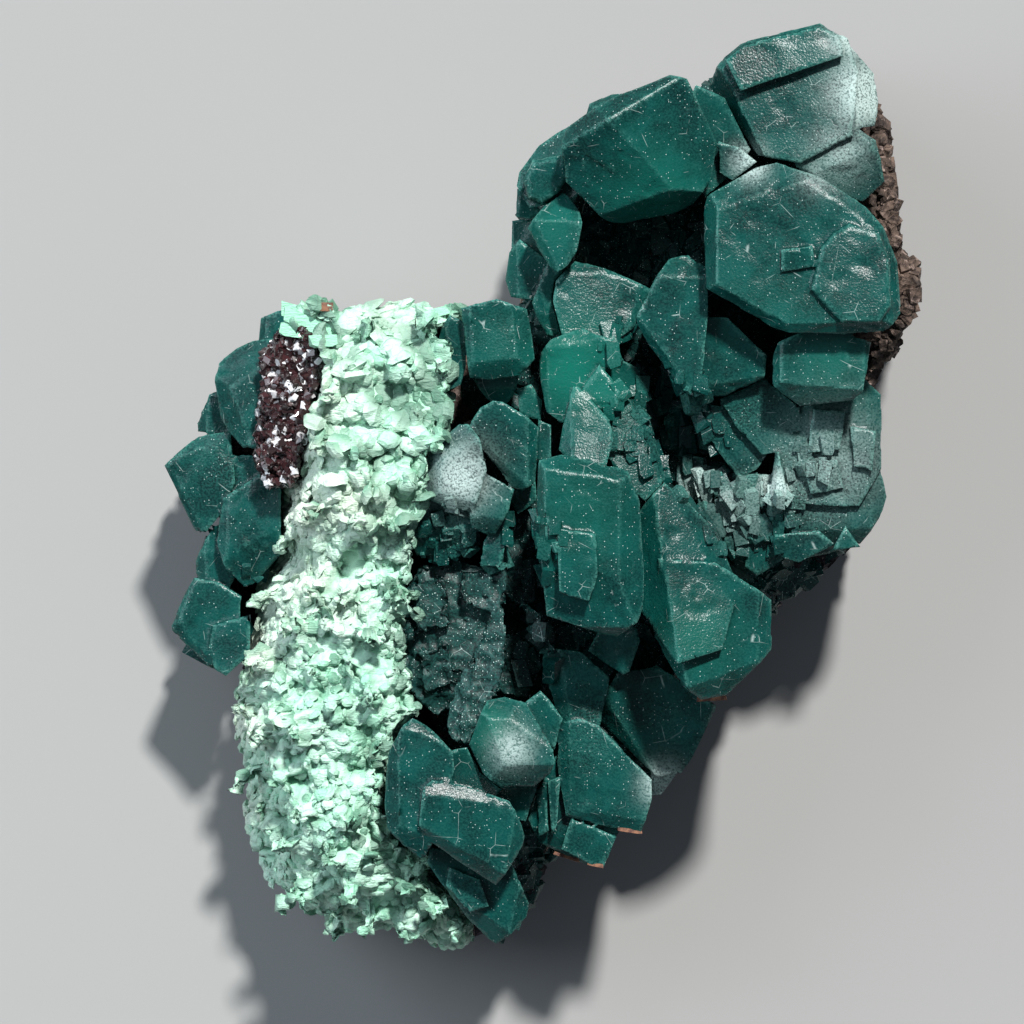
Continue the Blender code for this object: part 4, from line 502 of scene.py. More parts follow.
@dataclass(frozen=True)
class CrystalFinish:
    """Translucent green crystal, deep inside, cracked and dusty, paler where frosted and worn, with painted
    edge highlights, reflections, glow and shade in its grooves.
    """

    name: str
    flaws: bpy.types.NodeTree
    surface: bpy.types.NodeTree
    deep: Colour = (0.002, 0.030, 0.029)
    body: Colour = (0.003, 0.084, 0.075)
    glow: Colour = (0.006, 0.210, 0.150)
    # Paler green of the worn edges, which also paints the highlights along them.
    edge: Colour = (0.110, 0.380, 0.320)
    white: Colour = (0.660, 0.840, 0.800)
    rubbed: Colour = (0.020, 0.150, 0.125)
    sunk_shade: float = 0.5
    glow_strength: float = 0.85
    crack_scale: float = 0.22
    crack_strength: float = 0.6
    dust_share: float = 0.03
    rough_dust_share: float = 0.2
    dust_strength: float = 0.85
    cloudy: Span = (0.38, 0.62)
    sugary: Span = (0.58, 0.72, 0.0, 0.35)
    rubbed_grains: Span = (0.4, 0.62)
    worn_grains: Span = (0.35, 0.6, 0.15, 0.95)
    frosted_grains: Span = (0.32, 0.55, 0.25, 1.0)
    # How the grooves' painted shade grows with their depth.
    sunk: Span = (0.1, 0.9, 0.0, 0.6)
    grain_height: Span = (0.0, 0.7, 0.05, 1.2)
    step_height: float = 0.5
    bump: tuple[float, float] = (0.5, 0.0002)
    roughness: float = 0.19
    marks_roughness: float = 0.4
    rough_roughness: float = 0.28
    ior: float = 1.535
    transmission: float = 0.3
    shine: float = 0.12
    depth_colour: Colour = (0.050, 0.600, 0.500)
    depth_density: float = 120.0

    def build(self) -> bpy.types.Material:
        """Makes the material.

        Returns:
            The material.
        """
        material, wiring, shader = new_material(self.name)
        flaws = wiring.add("ShaderNodeGroup", {"Crack Scale": self.crack_scale}, node_tree=self.flaws)
        surface = wiring.add("ShaderNodeGroup", node_tree=self.surface)
        steps, sugar = surface.outputs["Steps"], surface.outputs["Sugar"]
        sugary = wiring.between(flaws.outputs["Clouds"], *self.sugary)
        rough_place = wiring.math("MAXIMUM", wiring.trait(Trait.ROUGH), sugary)
        more_dust = wiring.math("MULTIPLY", rough_place, self.rough_dust_share)
        wiring.feed(flaws, {"Dust Share": wiring.math("ADD", more_dust, self.dust_share)})
        frosted_grains = wiring.between(sugar, *self.frosted_grains)
        # Frost, and faces painted white as reflections of the light.
        frost = wiring.math("MULTIPLY", wiring.trait(Trait.FROST), frosted_grains)
        cracks = wiring.math("MULTIPLY", flaws.outputs["Cracks"], self.crack_strength)
        dust = wiring.math("MULTIPLY", flaws.outputs["Dust"], self.dust_strength)
        marks = wiring.math("MAXIMUM", cracks, dust)
        colour = wiring.blend(wiring.between(flaws.outputs["Clouds"], *self.cloudy), self.deep, self.body)
        glow = wiring.math("MULTIPLY", wiring.trait(Trait.GLOW), self.glow_strength)
        rubbed = wiring.math("MULTIPLY", rough_place, wiring.between(sugar, *self.rubbed_grains))
        # Worn ridges painted paler: partly wear, partly painted edge highlights.
        worn = wiring.math("MULTIPLY", wiring.trait(Trait.WEAR), wiring.between(sugar, *self.worn_grains))
        # Painted shade: the grooves are darkened towards half the deep colour.
        sunk = wiring.between(wiring.trait(Trait.HOLLOW), *self.sunk)
        shade = tuple(self.sunk_shade * part for part in self.deep)
        layers = (
            (glow, self.glow), (rubbed, self.rubbed), (worn, self.edge), (frost, self.white),
            (marks, self.white), (sunk, shade),
        )
        for share, paint in layers:
            colour = wiring.blend(share, colour, paint)
        pale_roughness = wiring.math("MULTIPLY", wiring.math("MAXIMUM", frost, marks), self.marks_roughness)
        rough = wiring.math("ADD", self.roughness, pale_roughness)
        rough = wiring.math("ADD", rough, wiring.math("MULTIPLY", rough_place, self.rough_roughness))
        rugged = wiring.math("MAXIMUM", wiring.trait(Trait.FROST), rough_place)
        grains = wiring.math("MULTIPLY", sugar, wiring.between(rugged, *self.grain_height))
        height = wiring.math("ADD", wiring.math("MULTIPLY", steps, self.step_height), grains)
        wiring.feed(shader, {
            "Base Color": colour, "Roughness": rough, "Normal": wiring.bump(height, *self.bump),
            "IOR": self.ior, "Specular IOR Level": self.shine, "Transmission Weight": self.transmission,
        })
        depth = {"Color": opaque(self.depth_colour), "Density": self.depth_density}
        absorption = wiring.add("ShaderNodeVolumeAbsorption", depth)
        wiring.feed(material.node_tree.nodes["Material Output"], {"Volume": absorption.outputs[0]})
        return material


@dataclass(frozen=True)
class CrustFinish:
    """Silky mint stilbite: each petal its own tint, pale at its rim and darkened by painted shade at its root
    and in the creases.
    """

    name: str = "mint_stilbite"
    # The painted shade at the plates' roots and in the bed's low places.
    root: Colour = (0.200, 0.470, 0.320)
    mint: Colour = (0.360, 0.760, 0.540)
    pale: Colour = (0.600, 0.880, 0.720)
    cream: Colour = (0.800, 0.870, 0.740)
    # The painted shade in the creases and between the mounds.
    crease: Colour = (0.060, 0.170, 0.110)
    paleness: Span = (0.3, 0.8)
    cream_strength: float = 0.8
    above_root: Span = (0.0, 0.55)
    # How the creases' painted shade grows with their depth.
    creased: Span = (0.05, 0.3, 0.0, 0.7)
    pages: tuple[float, float, float] = (0.8, 3.4, 2.4)
    bump: tuple[float, float] = (0.8, 0.0004)
    roughness: float = 0.5
    sheen: tuple[float, float] = (0.1, 0.3)

    def build(self) -> bpy.types.Material:
        """Makes the material.

        Returns:
            The material.
        """
        material, wiring, shader = new_material(self.name)
        place = wiring.millimetres()
        cloud = wiring.math("MULTIPLY", wiring.noise(place, scale=0.12), 0.6)
        mixed = wiring.math("ADD", cloud, wiring.math("MULTIPLY", wiring.trait(Trait.TINT), 0.5))
        colour = wiring.blend(wiring.between(mixed, *self.paleness), self.mint, self.pale)
        cream = wiring.math("MULTIPLY", wiring.trait(Trait.FROST), self.cream_strength)
        colour = wiring.blend(cream, colour, self.cream)
        # Painted shade: dark towards each plate's root and in the bed's low places.
        colour = wiring.blend(wiring.between(wiring.trait(Trait.TIP), *self.above_root), self.root, colour)
        # Painted shade in the creases.
        colour = wiring.blend(wiring.between(wiring.trait(Trait.HOLLOW), *self.creased), colour, self.crease)
        pages = wiring.noise(wiring.vector_math("MULTIPLY", place, self.pages), scale=1.0, rough=0.65)
        wiring.feed(shader, {
            "Base Color": colour, "Normal": wiring.bump(pages, *self.bump), "Roughness": self.roughness,
            "Coat Weight": self.sheen[0], "Coat Roughness": self.sheen[1],
        })
        return material


@dataclass(frozen=True)
class DruseFinish:
    """Tiny dark red-brown crystals with bright glints and pale dusty patches."""

    name: str = "dark_red_druse"
    dark: Colour = (0.020, 0.010, 0.011)
    red: Colour = (0.055, 0.020, 0.022)
    pale: Colour = (0.260, 0.240, 0.240)
    glint: Colour = (0.800, 0.800, 0.820)
    reddish: Span = (0.3, 0.8)
    glinting: Span = (0.86, 0.9)
    dusty: Span = (0.58, 0.7, 0.0, 0.7)
    roughness: Span = (0.0, 0.7, 0.12, 0.5)
    gloss: tuple[float, float] = (0.6, 0.08)

    def build(self) -> bpy.types.Material:
        """Makes the material.

        Returns:
            The material.
        """
        material, wiring, shader = new_material(self.name)
        tint = wiring.trait(Trait.TINT)
        colour = wiring.blend(wiring.between(tint, *self.reddish), self.dark, self.red)
        colour = wiring.blend(wiring.between(tint, *self.glinting), colour, self.glint)
        dusty = wiring.between(wiring.noise(wiring.millimetres(), scale=1.4), *self.dusty)
        wiring.feed(shader, {
            "Base Color": wiring.blend(dusty, colour, self.pale),
            "Roughness": wiring.between(dusty, *self.roughness),
            "Coat Weight": self.gloss[0], "Coat Roughness": self.gloss[1],
        })
        return material


@dataclass(frozen=True)
class RockFinish:
    """Matt granular host rock: brown, with pale flecks, dark pits and purple-black places."""

    name: str = "granular_rock"
    brown: Colour = (0.130, 0.090, 0.070)
    purple: Colour = (0.030, 0.022, 0.034)
    fleck: Colour = (0.480, 0.360, 0.310)
    pit: Colour = (0.020, 0.011, 0.010)
    border_wander: float = 24.0
    brown_from: Span = (14.0, 34.0)
    patchy: Span = (0.4, 0.65, 0.3, 1.5)
    flecked: Span = (0.86, 0.98, 0.0, 0.6)
    pitted: Span = (0.4, 0.5, 0.85, 0.0)
    roughness: Span = (0.0, 1.0, 0.95, 0.7)
    bump: tuple[float, float] = (0.8, 0.0005)

    def build(self) -> bpy.types.Material:
        """Makes the material.

        Returns:
            The material.
        """
        material, wiring, shader = new_material(self.name)
        place = wiring.millimetres()
        wander = wiring.math("MULTIPLY", wiring.noise(place, scale=0.1), self.border_wander)
        along = wiring.math("ADD", wiring.axis(place, 1), wander)
        colour = wiring.blend(wiring.between(along, *self.brown_from), self.purple, self.brown)
        grain = wiring.cells(place, 1.3)
        chance = wiring.red(grain.outputs[1])
        patches = wiring.between(wiring.noise(place, scale=0.25, detail=4.0, rough=0.65), *self.patchy)
        colour = wiring.blend(1.0, colour, wiring.alike(patches), "MULTIPLY")
        colour = wiring.blend(wiring.between(chance, *self.flecked), colour, self.fleck)
        pits = wiring.between(wiring.noise(place, scale=0.7, detail=4.0, rough=0.7), *self.pitted)
        height = wiring.math("ADD", wiring.noise(place, scale=1.6, detail=5.0, rough=0.7), grain.outputs[0])
        wiring.feed(shader, {
            "Base Color": wiring.blend(pits, colour, self.pit), "Normal": wiring.bump(height, *self.bump),
            "Roughness": wiring.between(chance, *self.roughness),
        })
        return material


@dataclass(frozen=True)
class RustFinish:
    """Orange-brown weathered chips."""

    name: str = "rusty_chip"
    light: Colour = (0.260, 0.120, 0.065)
    dark: Colour = (0.100, 0.040, 0.028)
    patchy: Span = (0.4, 0.6)
    roughness: float = 0.7

    def build(self) -> bpy.types.Material:
        """Makes the material.

        Returns:
            The material.
        """
        material, wiring, shader = new_material(self.name)
        patches = wiring.between(wiring.noise(wiring.millimetres(), scale=1.1), *self.patchy)
        colour = wiring.blend(patches, self.dark, self.light)
        wiring.feed(shader, {"Base Color": colour, "Roughness": self.roughness})
        return material


def new_object(name: str, data: bpy.types.ID) -> bpy.types.Object:
    """An object in the scene.

    Args:
        name: its name.
        data: its mesh, light or camera.

    Returns:
        The object.
    """
    made = bpy.data.objects.new(name, data)
    bpy.context.scene.collection.objects.link(made)
    return made


def mesh_of(work: bmesh.types.BMesh, name: str) -> bpy.types.Mesh:
    """Ends the work on a mesh.

    Args:
        work: the mesh in the making, which is let go.
        name: the mesh's name.

    Returns:
        The mesh.
    """
    mesh = bpy.data.meshes.new(name)
    work.to_mesh(mesh)
    work.free()
    return mesh


def node_in_millimetres(node: str, name: str) -> bpy.types.Object:
    """A copy of a CAD node with its loose triangles joined.

    Args:
        node: the node's name.
        name: the copy's name.

    Returns:
        The copy, in millimetres.
    """
    work = bmesh.new()
    work.from_mesh(frame["nodes"][node].data)
    bmesh.ops.remove_doubles(work, verts=work.verts, dist=1e-6)
    bmesh.ops.scale(work, vec=(MILLIMETRES,) * 3, verts=work.verts[:])
    return new_object(name, mesh_of(work, name))


def baked(target: bpy.types.Object) -> bpy.types.Object:
    """The object with its modifiers made into its mesh.

    Args:
        target: the object.

    Returns:
        The object, without modifiers.
    """
    evaluated = target.evaluated_get(bpy.context.evaluated_depsgraph_get())
    mesh = bpy.data.meshes.new_from_object(evaluated)
    target.modifiers.clear()
    target.data = mesh
    return target


def skinned(target: bpy.types.Object, face_size: float, skin: Skin = Skin.SOFT) -> bpy.types.Object:
    """The object wrapped anew in small even faces.

    Args:
        target: the object, in millimetres.
        face_size: how long a face is.
        skin: whether the edges stay crisp or are worn round.

    Returns:
        The object.
    """
    modifier = target.modifiers.new("skin", "REMESH")
    modifier.mode = skin.value
    if skin is Skin.SOFT:
        modifier.voxel_size = face_size
        return baked(target)
    bpy.context.view_layer.update()
    across = max(target.dimensions)
    modifier.octree_depth = math.ceil(math.log2(across / (FULL_GRID * face_size)))
    modifier.scale = across / (face_size * 2**modifier.octree_depth)
    modifier.use_remove_disconnected = False
    plain = new_object(f"{target.name}_plain", target.data.copy())
    baked(target)
    flattened = target.modifiers.new("flat_faces", "SHRINKWRAP")
    flattened.target = plain
    flattened.wrap_method = "NEAREST_SURFACEPOINT"
    bpy.context.view_layer.update()
    baked(target)
    bpy.data.objects.remove(plain)
    return target


def use_tree(
    target: bpy.types.Object, tree: bpy.types.NodeTree, values: dict[str, object],
) -> bpy.types.Object:
    """Runs a geometry tree on the object and keeps the result as its mesh.

    Args:
        target: the object.
        tree: the geometry tree.
        values: the tree's inputs by name.

    Returns:
        The object.
    """
    modifier = target.modifiers.new(tree.name, "NODES")
    modifier.node_group = tree
    for item in tree.interface.items_tree:
        if item.in_out == "INPUT" and item.name in values:
            modifier[item.identifier] = values[item.name]
    return baked(target)


def rows_of(mesh: bpy.types.Mesh, what: str) -> np.ndarray:
    """One vector for each point of the mesh.

    Args:
        mesh: the mesh.
        what: what the vectors are, in Blender's word for it.

    Returns:
        The vectors as rows.
    """
    flat = np.empty(len(mesh.vertices) * 3, np.float32)
    mesh.vertices.foreach_get(what, flat)
    return flat.reshape(-1, 3).astype(float)


def points_of(mesh: bpy.types.Mesh) -> np.ndarray:
    """The mesh's points as rows."""
    return rows_of(mesh, "co")


def normals_of(mesh: bpy.types.Mesh) -> np.ndarray:
    """The mesh's normals at its points, as rows."""
    return rows_of(mesh, "normal")


def move_points(mesh: bpy.types.Mesh, points: np.ndarray) -> None:
    """Puts the mesh's points at new places."""
    mesh.vertices.foreach_set("co", points.astype(np.float32).ravel())
    mesh.update()


def smooth_shaded(mesh: bpy.types.Mesh) -> None:
    """Shades the mesh smooth."""
    mesh.polygons.foreach_set("use_smooth", [True] * len(mesh.polygons))


def give_finish(mesh: bpy.types.Mesh, finish: bpy.types.Material) -> None:
    """Makes the finish the mesh's only one."""
    mesh.materials.clear()
    mesh.materials.append(finish)


def set_trait(mesh: bpy.types.Mesh, trait: Trait, values: np.ndarray) -> None:
    """Stores one number at each point."""
    attribute = mesh.attributes.get(trait.value) or mesh.attributes.new(trait.value, "FLOAT", "POINT")
    attribute.data.foreach_set("value", values.astype(np.float32))


def get_trait(mesh: bpy.types.Mesh, trait: Trait) -> np.ndarray:
    """The number stored at each point.

    Args:
        mesh: the mesh.
        trait: what the number says.

    Returns:
        The numbers.
    """
    values = np.empty(len(mesh.vertices), np.float32)
    mesh.attributes[trait.value].data.foreach_get("value", values)
    return values.astype(float)


def set_directions(mesh: bpy.types.Mesh, trait: Trait, directions: np.ndarray) -> None:
    """Stores one direction at each point."""
    attribute = mesh.attributes.get(trait.value) or mesh.attributes.new(trait.value, "FLOAT_VECTOR", "POINT")
    attribute.data.foreach_set("vector", directions.astype(np.float32).ravel())


def between_heights(points: np.ndarray, low: float, high: float) -> np.ndarray:
    """How far each point is from one height to another: 0 at the low one, 1 at the high one."""
    return np.clip((points[:, 2] - low) / (high - low), 0.0, 1.0)


def bends(mesh: bpy.types.Mesh, spread: int = 1) -> np.ndarray:
    """How sharply the surface bends at each point.

    Args:
        mesh: the mesh.
        spread: how many times each point's value is evened out with its neighbours'.

    Returns:
        One number for each point: above 0 on a ridge, below 0 in a groove.
    """
    points, normals = points_of(mesh), normals_of(mesh)
    ends = np.empty(len(mesh.edges) * 2, np.int64)
    mesh.edges.foreach_get("vertices", ends)
    first, second = ends[0::2], ends[1::2]
    along = points[second] - points[first]
    length = np.maximum(np.linalg.norm(along, axis=1), 1e-6)
    count = len(points)
    number = np.maximum(np.bincount(ends, minlength=count), 1)
    value = np.bincount(first, -(along * normals[first]).sum(1) / length, count)
    value += np.bincount(second, (along * normals[second]).sum(1) / length, count)
    value /= number
    for _ in range(spread):
        near = np.bincount(first, value[second], count) + np.bincount(second, value[first], count)
        value = 0.5 * value + 0.5 * near / number
    return value


def strength_at(points: np.ndarray, spots: tuple[Spot, ...]) -> np.ndarray:
    """How strong the spots are at each point, seen from above.

    Args:
        points: the points as rows.
        spots: the spots.

    Returns:
        One number for each point.
    """
    total = np.zeros(len(points))
    for spot in spots:
        away = ((points[:, 0] - spot.x) ** 2 + (points[:, 1] - spot.y) ** 2) / spot.radius**2
        total = np.maximum(total, spot.strength * np.exp(-away))
    return total


def shaped_traits(mesh: bpy.types.Mesh) -> None:
    """Stores where a crystal is worn at its edges and painted with highlights, sunk in grooves painted with
    shade, frosted and painted with reflections, rough, and glowing.

    Args:
        mesh: the crystal's mesh.
    """
    bend = bends(mesh)
    points = points_of(mesh)
    # Ridges carry the wear that also paints edge highlights; grooves carry the painted shade.
    set_trait(mesh, Trait.WEAR, np.clip(bend * 3.5 - 0.15, 0.0, 1.0))
    set_trait(mesh, Trait.HOLLOW, np.clip(-bend * 3.0, 0.0, 1.0))
    marked = ((Trait.FROST, FROSTED_AND_GLINTING_SPOTS), (Trait.ROUGH, ROUGH_SPOTS), (Trait.GLOW, GLOWING_SPOTS))
    for trait, spots in marked:
        set_trait(mesh, trait, np.clip(strength_at(points, spots), 0.0, 1.0))


def finished(piece: bpy.types.Object, slot: Slot, *nodes: str) -> bpy.types.Object:
    """Brings a piece to metres inside the CAD box, fixes it to the body and hides the CAD nodes that it
    stands for.

    Args:
        piece: the piece in millimetres, its modifiers done.
        slot: the material slot that it takes its finish from; not used.
        nodes: the CAD nodes that it stands for.

    Returns:
        The piece.
    """
    low, high = (np.array(corner) for corner in CAD_BOX)
    move_points(piece.data, np.clip(points_of(piece.data) * METRES, low, high))
    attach(piece, BODY)
    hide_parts(*nodes)
    log.info("%s: %d faces", piece.name, len(piece.data.polygons))
    return piece


def ended(
    wiring: Wiring, given: bpy.types.Node, result: bpy.types.Node, geometry: Socket,
) -> bpy.types.NodeTree:
    """Ends a geometry tree in plain geometry with its finish.

    Args:
        wiring: the tree's wiring.
        given: its input node, which has a Material.
        result: its output node.
        geometry: what the tree has made.

    Returns:
        The tree.
    """
    realized = wiring.add("GeometryNodeRealizeInstances", {0: geometry}).outputs[0]
    inputs = {"Geometry": realized, "Material": given.outputs["Material"]}
    wiring.feed(result, {0: wiring.add("GeometryNodeSetMaterial", inputs).outputs[0]})
    return wiring.tree


def growth_tree() -> bpy.types.NodeTree:
    """Growth plates and ripples on a crystal's faces, cut into them.

    Returns:
        The geometry tree.
    """
    inputs = {
        "Geometry": (GEOMETRY, None), "Plate Size": (FLOAT, 6.0), "Plate Height": (FLOAT, 0.2),
        "Ripple Height": (FLOAT, 0.06), "Turn": (FLOAT, 0.3), "Material": (MATERIAL, None),
    }
    wiring, given, result = new_tree("growth_faces", GEOMETRY_TREE, inputs, {"Geometry": GEOMETRY})
    place = wiring.add("GeometryNodeInputPosition").outputs[0]
    turned = wiring.add("ShaderNodeVectorRotate", {"Vector": place, "Angle": given.outputs["Turn"]})
    bent = wiring.vector_math("ADD", turned.outputs[0], wiring.scaled(wiring.drift(place, 0.12), 0.8))
    levels = []
    for number, fineness in enumerate((1.0, 2.7)):
        scale = wiring.math("DIVIDE", fineness, given.outputs["Plate Size"])
        plates = wiring.cells(bent, scale, metric="CHEBYCHEV").outputs[1]
        levels.append(wiring.axis(plates, number))
    few_small_plates = wiring.math("MULTIPLY", wiring.math("GREATER_THAN", levels[1], 0.9), 0.6)
    level = wiring.math("ADD", levels[0], few_small_plates)
    ripple = wiring.noise(place, scale=0.9, detail=3.0, rough=0.5)
    depth = wiring.math("ADD", wiring.math("MULTIPLY", level, given.outputs["Plate Height"]),
                        wiring.math("MULTIPLY", ripple, given.outputs["Ripple Height"]))
    normal = wiring.add("GeometryNodeInputNormal").outputs[0]
    offset = wiring.scaled(normal, wiring.math("MULTIPLY", depth, -1.0))
    moved = wiring.add("GeometryNodeSetPosition", {"Geometry": given.outputs["Geometry"], "Offset": offset})
    return ended(wiring, given, result, moved.outputs[0])


def crust_tree() -> bpy.types.NodeTree:
    """Lumps within lumps on the crust, each tipped up at its lower lip, with creases cut between them that
    also take painted shade.

    Returns:
        The geometry tree.
    """
    inputs = {
        "Geometry": (GEOMETRY, None), "Lump Size": (FLOAT, 6.0), "Relief": (FLOAT, 1.0),
        "Material": (MATERIAL, None),
    }
    wiring, given, result = new_tree("crust_lumps", GEOMETRY_TREE, inputs, {"Geometry": GEOMETRY})
    place = wiring.add("GeometryNodeInputPosition").outputs[0]
    wobble, swirl = (
        wiring.scaled(wiring.vector_math("SUBTRACT", wiring.drift(place, scale), (0.5, 0.5, 0.5)), 3.0)
        for scale in (0.3, 0.07)
    )
    bent = wiring.vector_math("ADD", place, wobble)
    downward = wiring.vector_math("ADD", swirl, (0.15, -0.9, 0.0))
    heights, creases, lean = [], [], None
    for lumps in CRUST_SCALES:
        size = wiring.math("MULTIPLY", given.outputs["Lump Size"], lumps.share)
        scale = wiring.math("DIVIDE", 1.0, size)
        cell = wiring.cells(bent, scale)
        local = wiring.scaled(wiring.vector_math("SUBTRACT", bent, cell.outputs["Position"]), scale)
        tilt = wiring.add("ShaderNodeVectorMath", {0: local, 1: downward}, operation="DOT_PRODUCT").outputs[1]
        if lean is None:
            lean = wiring.vector_math("ADD", wiring.scaled(local, 1.6), downward)
        bulge = wiring.math("SUBTRACT", 1.0, wiring.math("POWER", cell.outputs["Distance"], 2.0))
        height = wiring.math("MULTIPLY", tilt, lumps.tip)
        height = wiring.math("ADD", height, wiring.math("MULTIPLY", bulge, lumps.bulge))
        chance = wiring.axis(cell.outputs["Color"], 0)
        height = wiring.math("ADD", height, wiring.math("MULTIPLY", chance, lumps.level))
        heights.append(wiring.math("MULTIPLY", height, size))
        edge = wiring.cells(bent, scale, "DISTANCE_TO_EDGE").outputs[0]
        creases.append(wiring.between(edge, 0.0, 0.09, lumps.crease, 0.0))
    height = wiring.math("ADD", wiring.math("ADD", heights[0], heights[1]), heights[2])
    crease = wiring.math("MAXIMUM", wiring.math("MAXIMUM", creases[0], creases[1]), creases[2])
    cut = wiring.math("SUBTRACT", wiring.math("SUBTRACT", height, crease), CRUST_TOP)
    cut = wiring.math("MINIMUM", wiring.math("MULTIPLY", cut, given.outputs["Relief"]), 0.0)
    above_back = wiring.between(wiring.axis(place, 2), 0.3, 2.0)
    outward = {"Name": Trait.OUTWARD.value}
    outward = wiring.add("GeometryNodeInputNamedAttribute", outward, data_type="FLOAT_VECTOR").outputs[0]
    offset = wiring.scaled(outward, wiring.math("MULTIPLY", cut, above_back))
    mesh = given.outputs["Geometry"]
    kept = (
        (Trait.LEAN, "FLOAT_VECTOR", lean), (Trait.HOLLOW, "FLOAT", crease), (Trait.TIP, "FLOAT", height),
    )
    for trait, kind, value in kept:
        inputs = {"Geometry": mesh, "Name": trait.value, "Value": value}
        stored = wiring.add("GeometryNodeStoreNamedAttribute", inputs, data_type=kind, domain="POINT")
        mesh = stored.outputs[0]
    moved = wiring.add("GeometryNodeSetPosition", {"Geometry": mesh, "Offset": offset})
    return ended(wiring, given, result, moved.outputs[0])


def scatter_tree() -> bpy.types.NodeTree:
    """Strews small shapes over a carrier, leaning as the carrier says, and keeps only the shapes.

    Returns:
        The geometry tree.
    """
    inputs = {
        "Geometry": (GEOMETRY, None), "Shapes": ("NodeSocketCollection", None), "Spacing": (FLOAT, 1.0),
        "Crowding": (FLOAT, 1.0), "Smallest": (FLOAT, 0.7), "Largest": (FLOAT, 1.3), "Lift": (FLOAT, 0.4),
        "Tumble": (FLOAT, 0.4), "Seed": ("NodeSocketInt", 0), "Material": (MATERIAL, None),
    }
    wiring, given, result = new_tree("strewn_shapes", GEOMETRY_TREE, inputs, {"Geometry": GEOMETRY})
    seed = given.outputs["Seed"]

    def carried(trait: Trait, kind: str) -> Socket:
        """What the carrier's points say of one trait."""
        return wiring.add("GeometryNodeInputNamedAttribute", {"Name": trait.value}, data_type=kind).outputs[0]

    spread_inputs = {
        "Mesh": given.outputs["Geometry"], "Distance Min": given.outputs["Spacing"],
        "Density Max": given.outputs["Crowding"], "Density Factor": carried(Trait.GROW, "FLOAT"),
        "Seed": seed,
    }
    spread = wiring.add("GeometryNodeDistributePointsOnFaces", spread_inputs, distribute_method="POISSON")
    outward = {"Vector": carried(Trait.OUTWARD, "FLOAT_VECTOR")}
    upright = wiring.add("FunctionNodeAlignRotationToVector", outward, axis="Z").outputs[0]
    lean = {"Rotation": upright, "Vector": carried(Trait.LEAN, "FLOAT_VECTOR")}
    leaning = wiring.add("FunctionNodeAlignRotationToVector", lean, axis="X", pivot_axis="Z").outputs[0]
    tumble = given.outputs["Tumble"]
    turns = {
        "Min": wiring.alike(wiring.math("MULTIPLY", tumble, -1.0)), "Max": wiring.alike(tumble), "Seed": seed,
    }
    turn = wiring.add("FunctionNodeRandomValue", turns, data_type="FLOAT_VECTOR").outputs[0]
    lift = wiring.math("MULTIPLY", given.outputs["Lift"], -1.0)
    lifted = wiring.vector_math("ADD", turn, wiring.add("ShaderNodeCombineXYZ", {1: lift}).outputs[0])
    lifted = wiring.add("FunctionNodeEulerToRotation", {0: lifted}).outputs[0]
    turned = {"Rotation": leaning, "Rotate By": lifted}
    rotation = wiring.add("FunctionNodeRotateRotation", turned, rotation_space="LOCAL").outputs[0]
    sizes = {2: given.outputs["Smallest"], 3: given.outputs["Largest"], "Seed": wiring.math("ADD", seed, 1.0)}
    size = wiring.add("FunctionNodeRandomValue", sizes, data_type="FLOAT").outputs[1]
    collected = {"Collection": given.outputs["Shapes"], "Separate Children": True, "Reset Children": True}
    placed_inputs = {
        "Points": spread.outputs["Points"], "Pick Instance": True, "Rotation": rotation,
        "Instance": wiring.add("GeometryNodeCollectionInfo", collected).outputs[0],
        "Scale": wiring.math("MULTIPLY", size, carried(Trait.SIZE, "FLOAT")),
    }
    placed = wiring.add("GeometryNodeInstanceOnPoints", placed_inputs).outputs[0]
    tint = wiring.add("FunctionNodeRandomValue", {"Seed": 5}, data_type="FLOAT").outputs[1]
    tint_inputs = {"Geometry": placed, "Name": Trait.TINT.value, "Value": tint}
    tinted = wiring.add("GeometryNodeStoreNamedAttribute", tint_inputs, data_type="FLOAT", domain="INSTANCE")
    return ended(wiring, given, result, tinted.outputs[0])


@dataclass(frozen=True)
class Strewing:
    """How small shapes are strewn over a carrier."""

    spacing: float
    crowding: float
    smallest: float
    largest: float
    seed: int
    lift: float = 0.0
    tumble: float = 3.1

    def strew(
        self, carrier: bpy.types.Object, tree: bpy.types.NodeTree, shapes: list[bpy.types.Mesh],
        finish: bpy.types.Material,
    ) -> bpy.types.Object:
        """Puts the shapes in the carrier's place.

        Args:
            carrier: the object that they are strewn over, which becomes the shapes.
            tree: the tree that strews them.
            shapes: the shapes.
            finish: their finish.

        Returns:
            The carrier.
        """
        collection = bpy.data.collections.new(f"{carrier.name}_shapes")
        for mesh in shapes:
            collection.objects.link(bpy.data.objects.new(mesh.name, mesh))
        use_tree(carrier, tree, {
            "Shapes": collection, "Spacing": self.spacing, "Crowding": self.crowding,
            "Smallest": self.smallest, "Largest": self.largest, "Lift": self.lift, "Tumble": self.tumble,
            "Seed": self.seed, "Material": finish,
        })
        for shape in list(collection.objects):
            bpy.data.objects.remove(shape)
        bpy.data.collections.remove(collection)
        return carrier


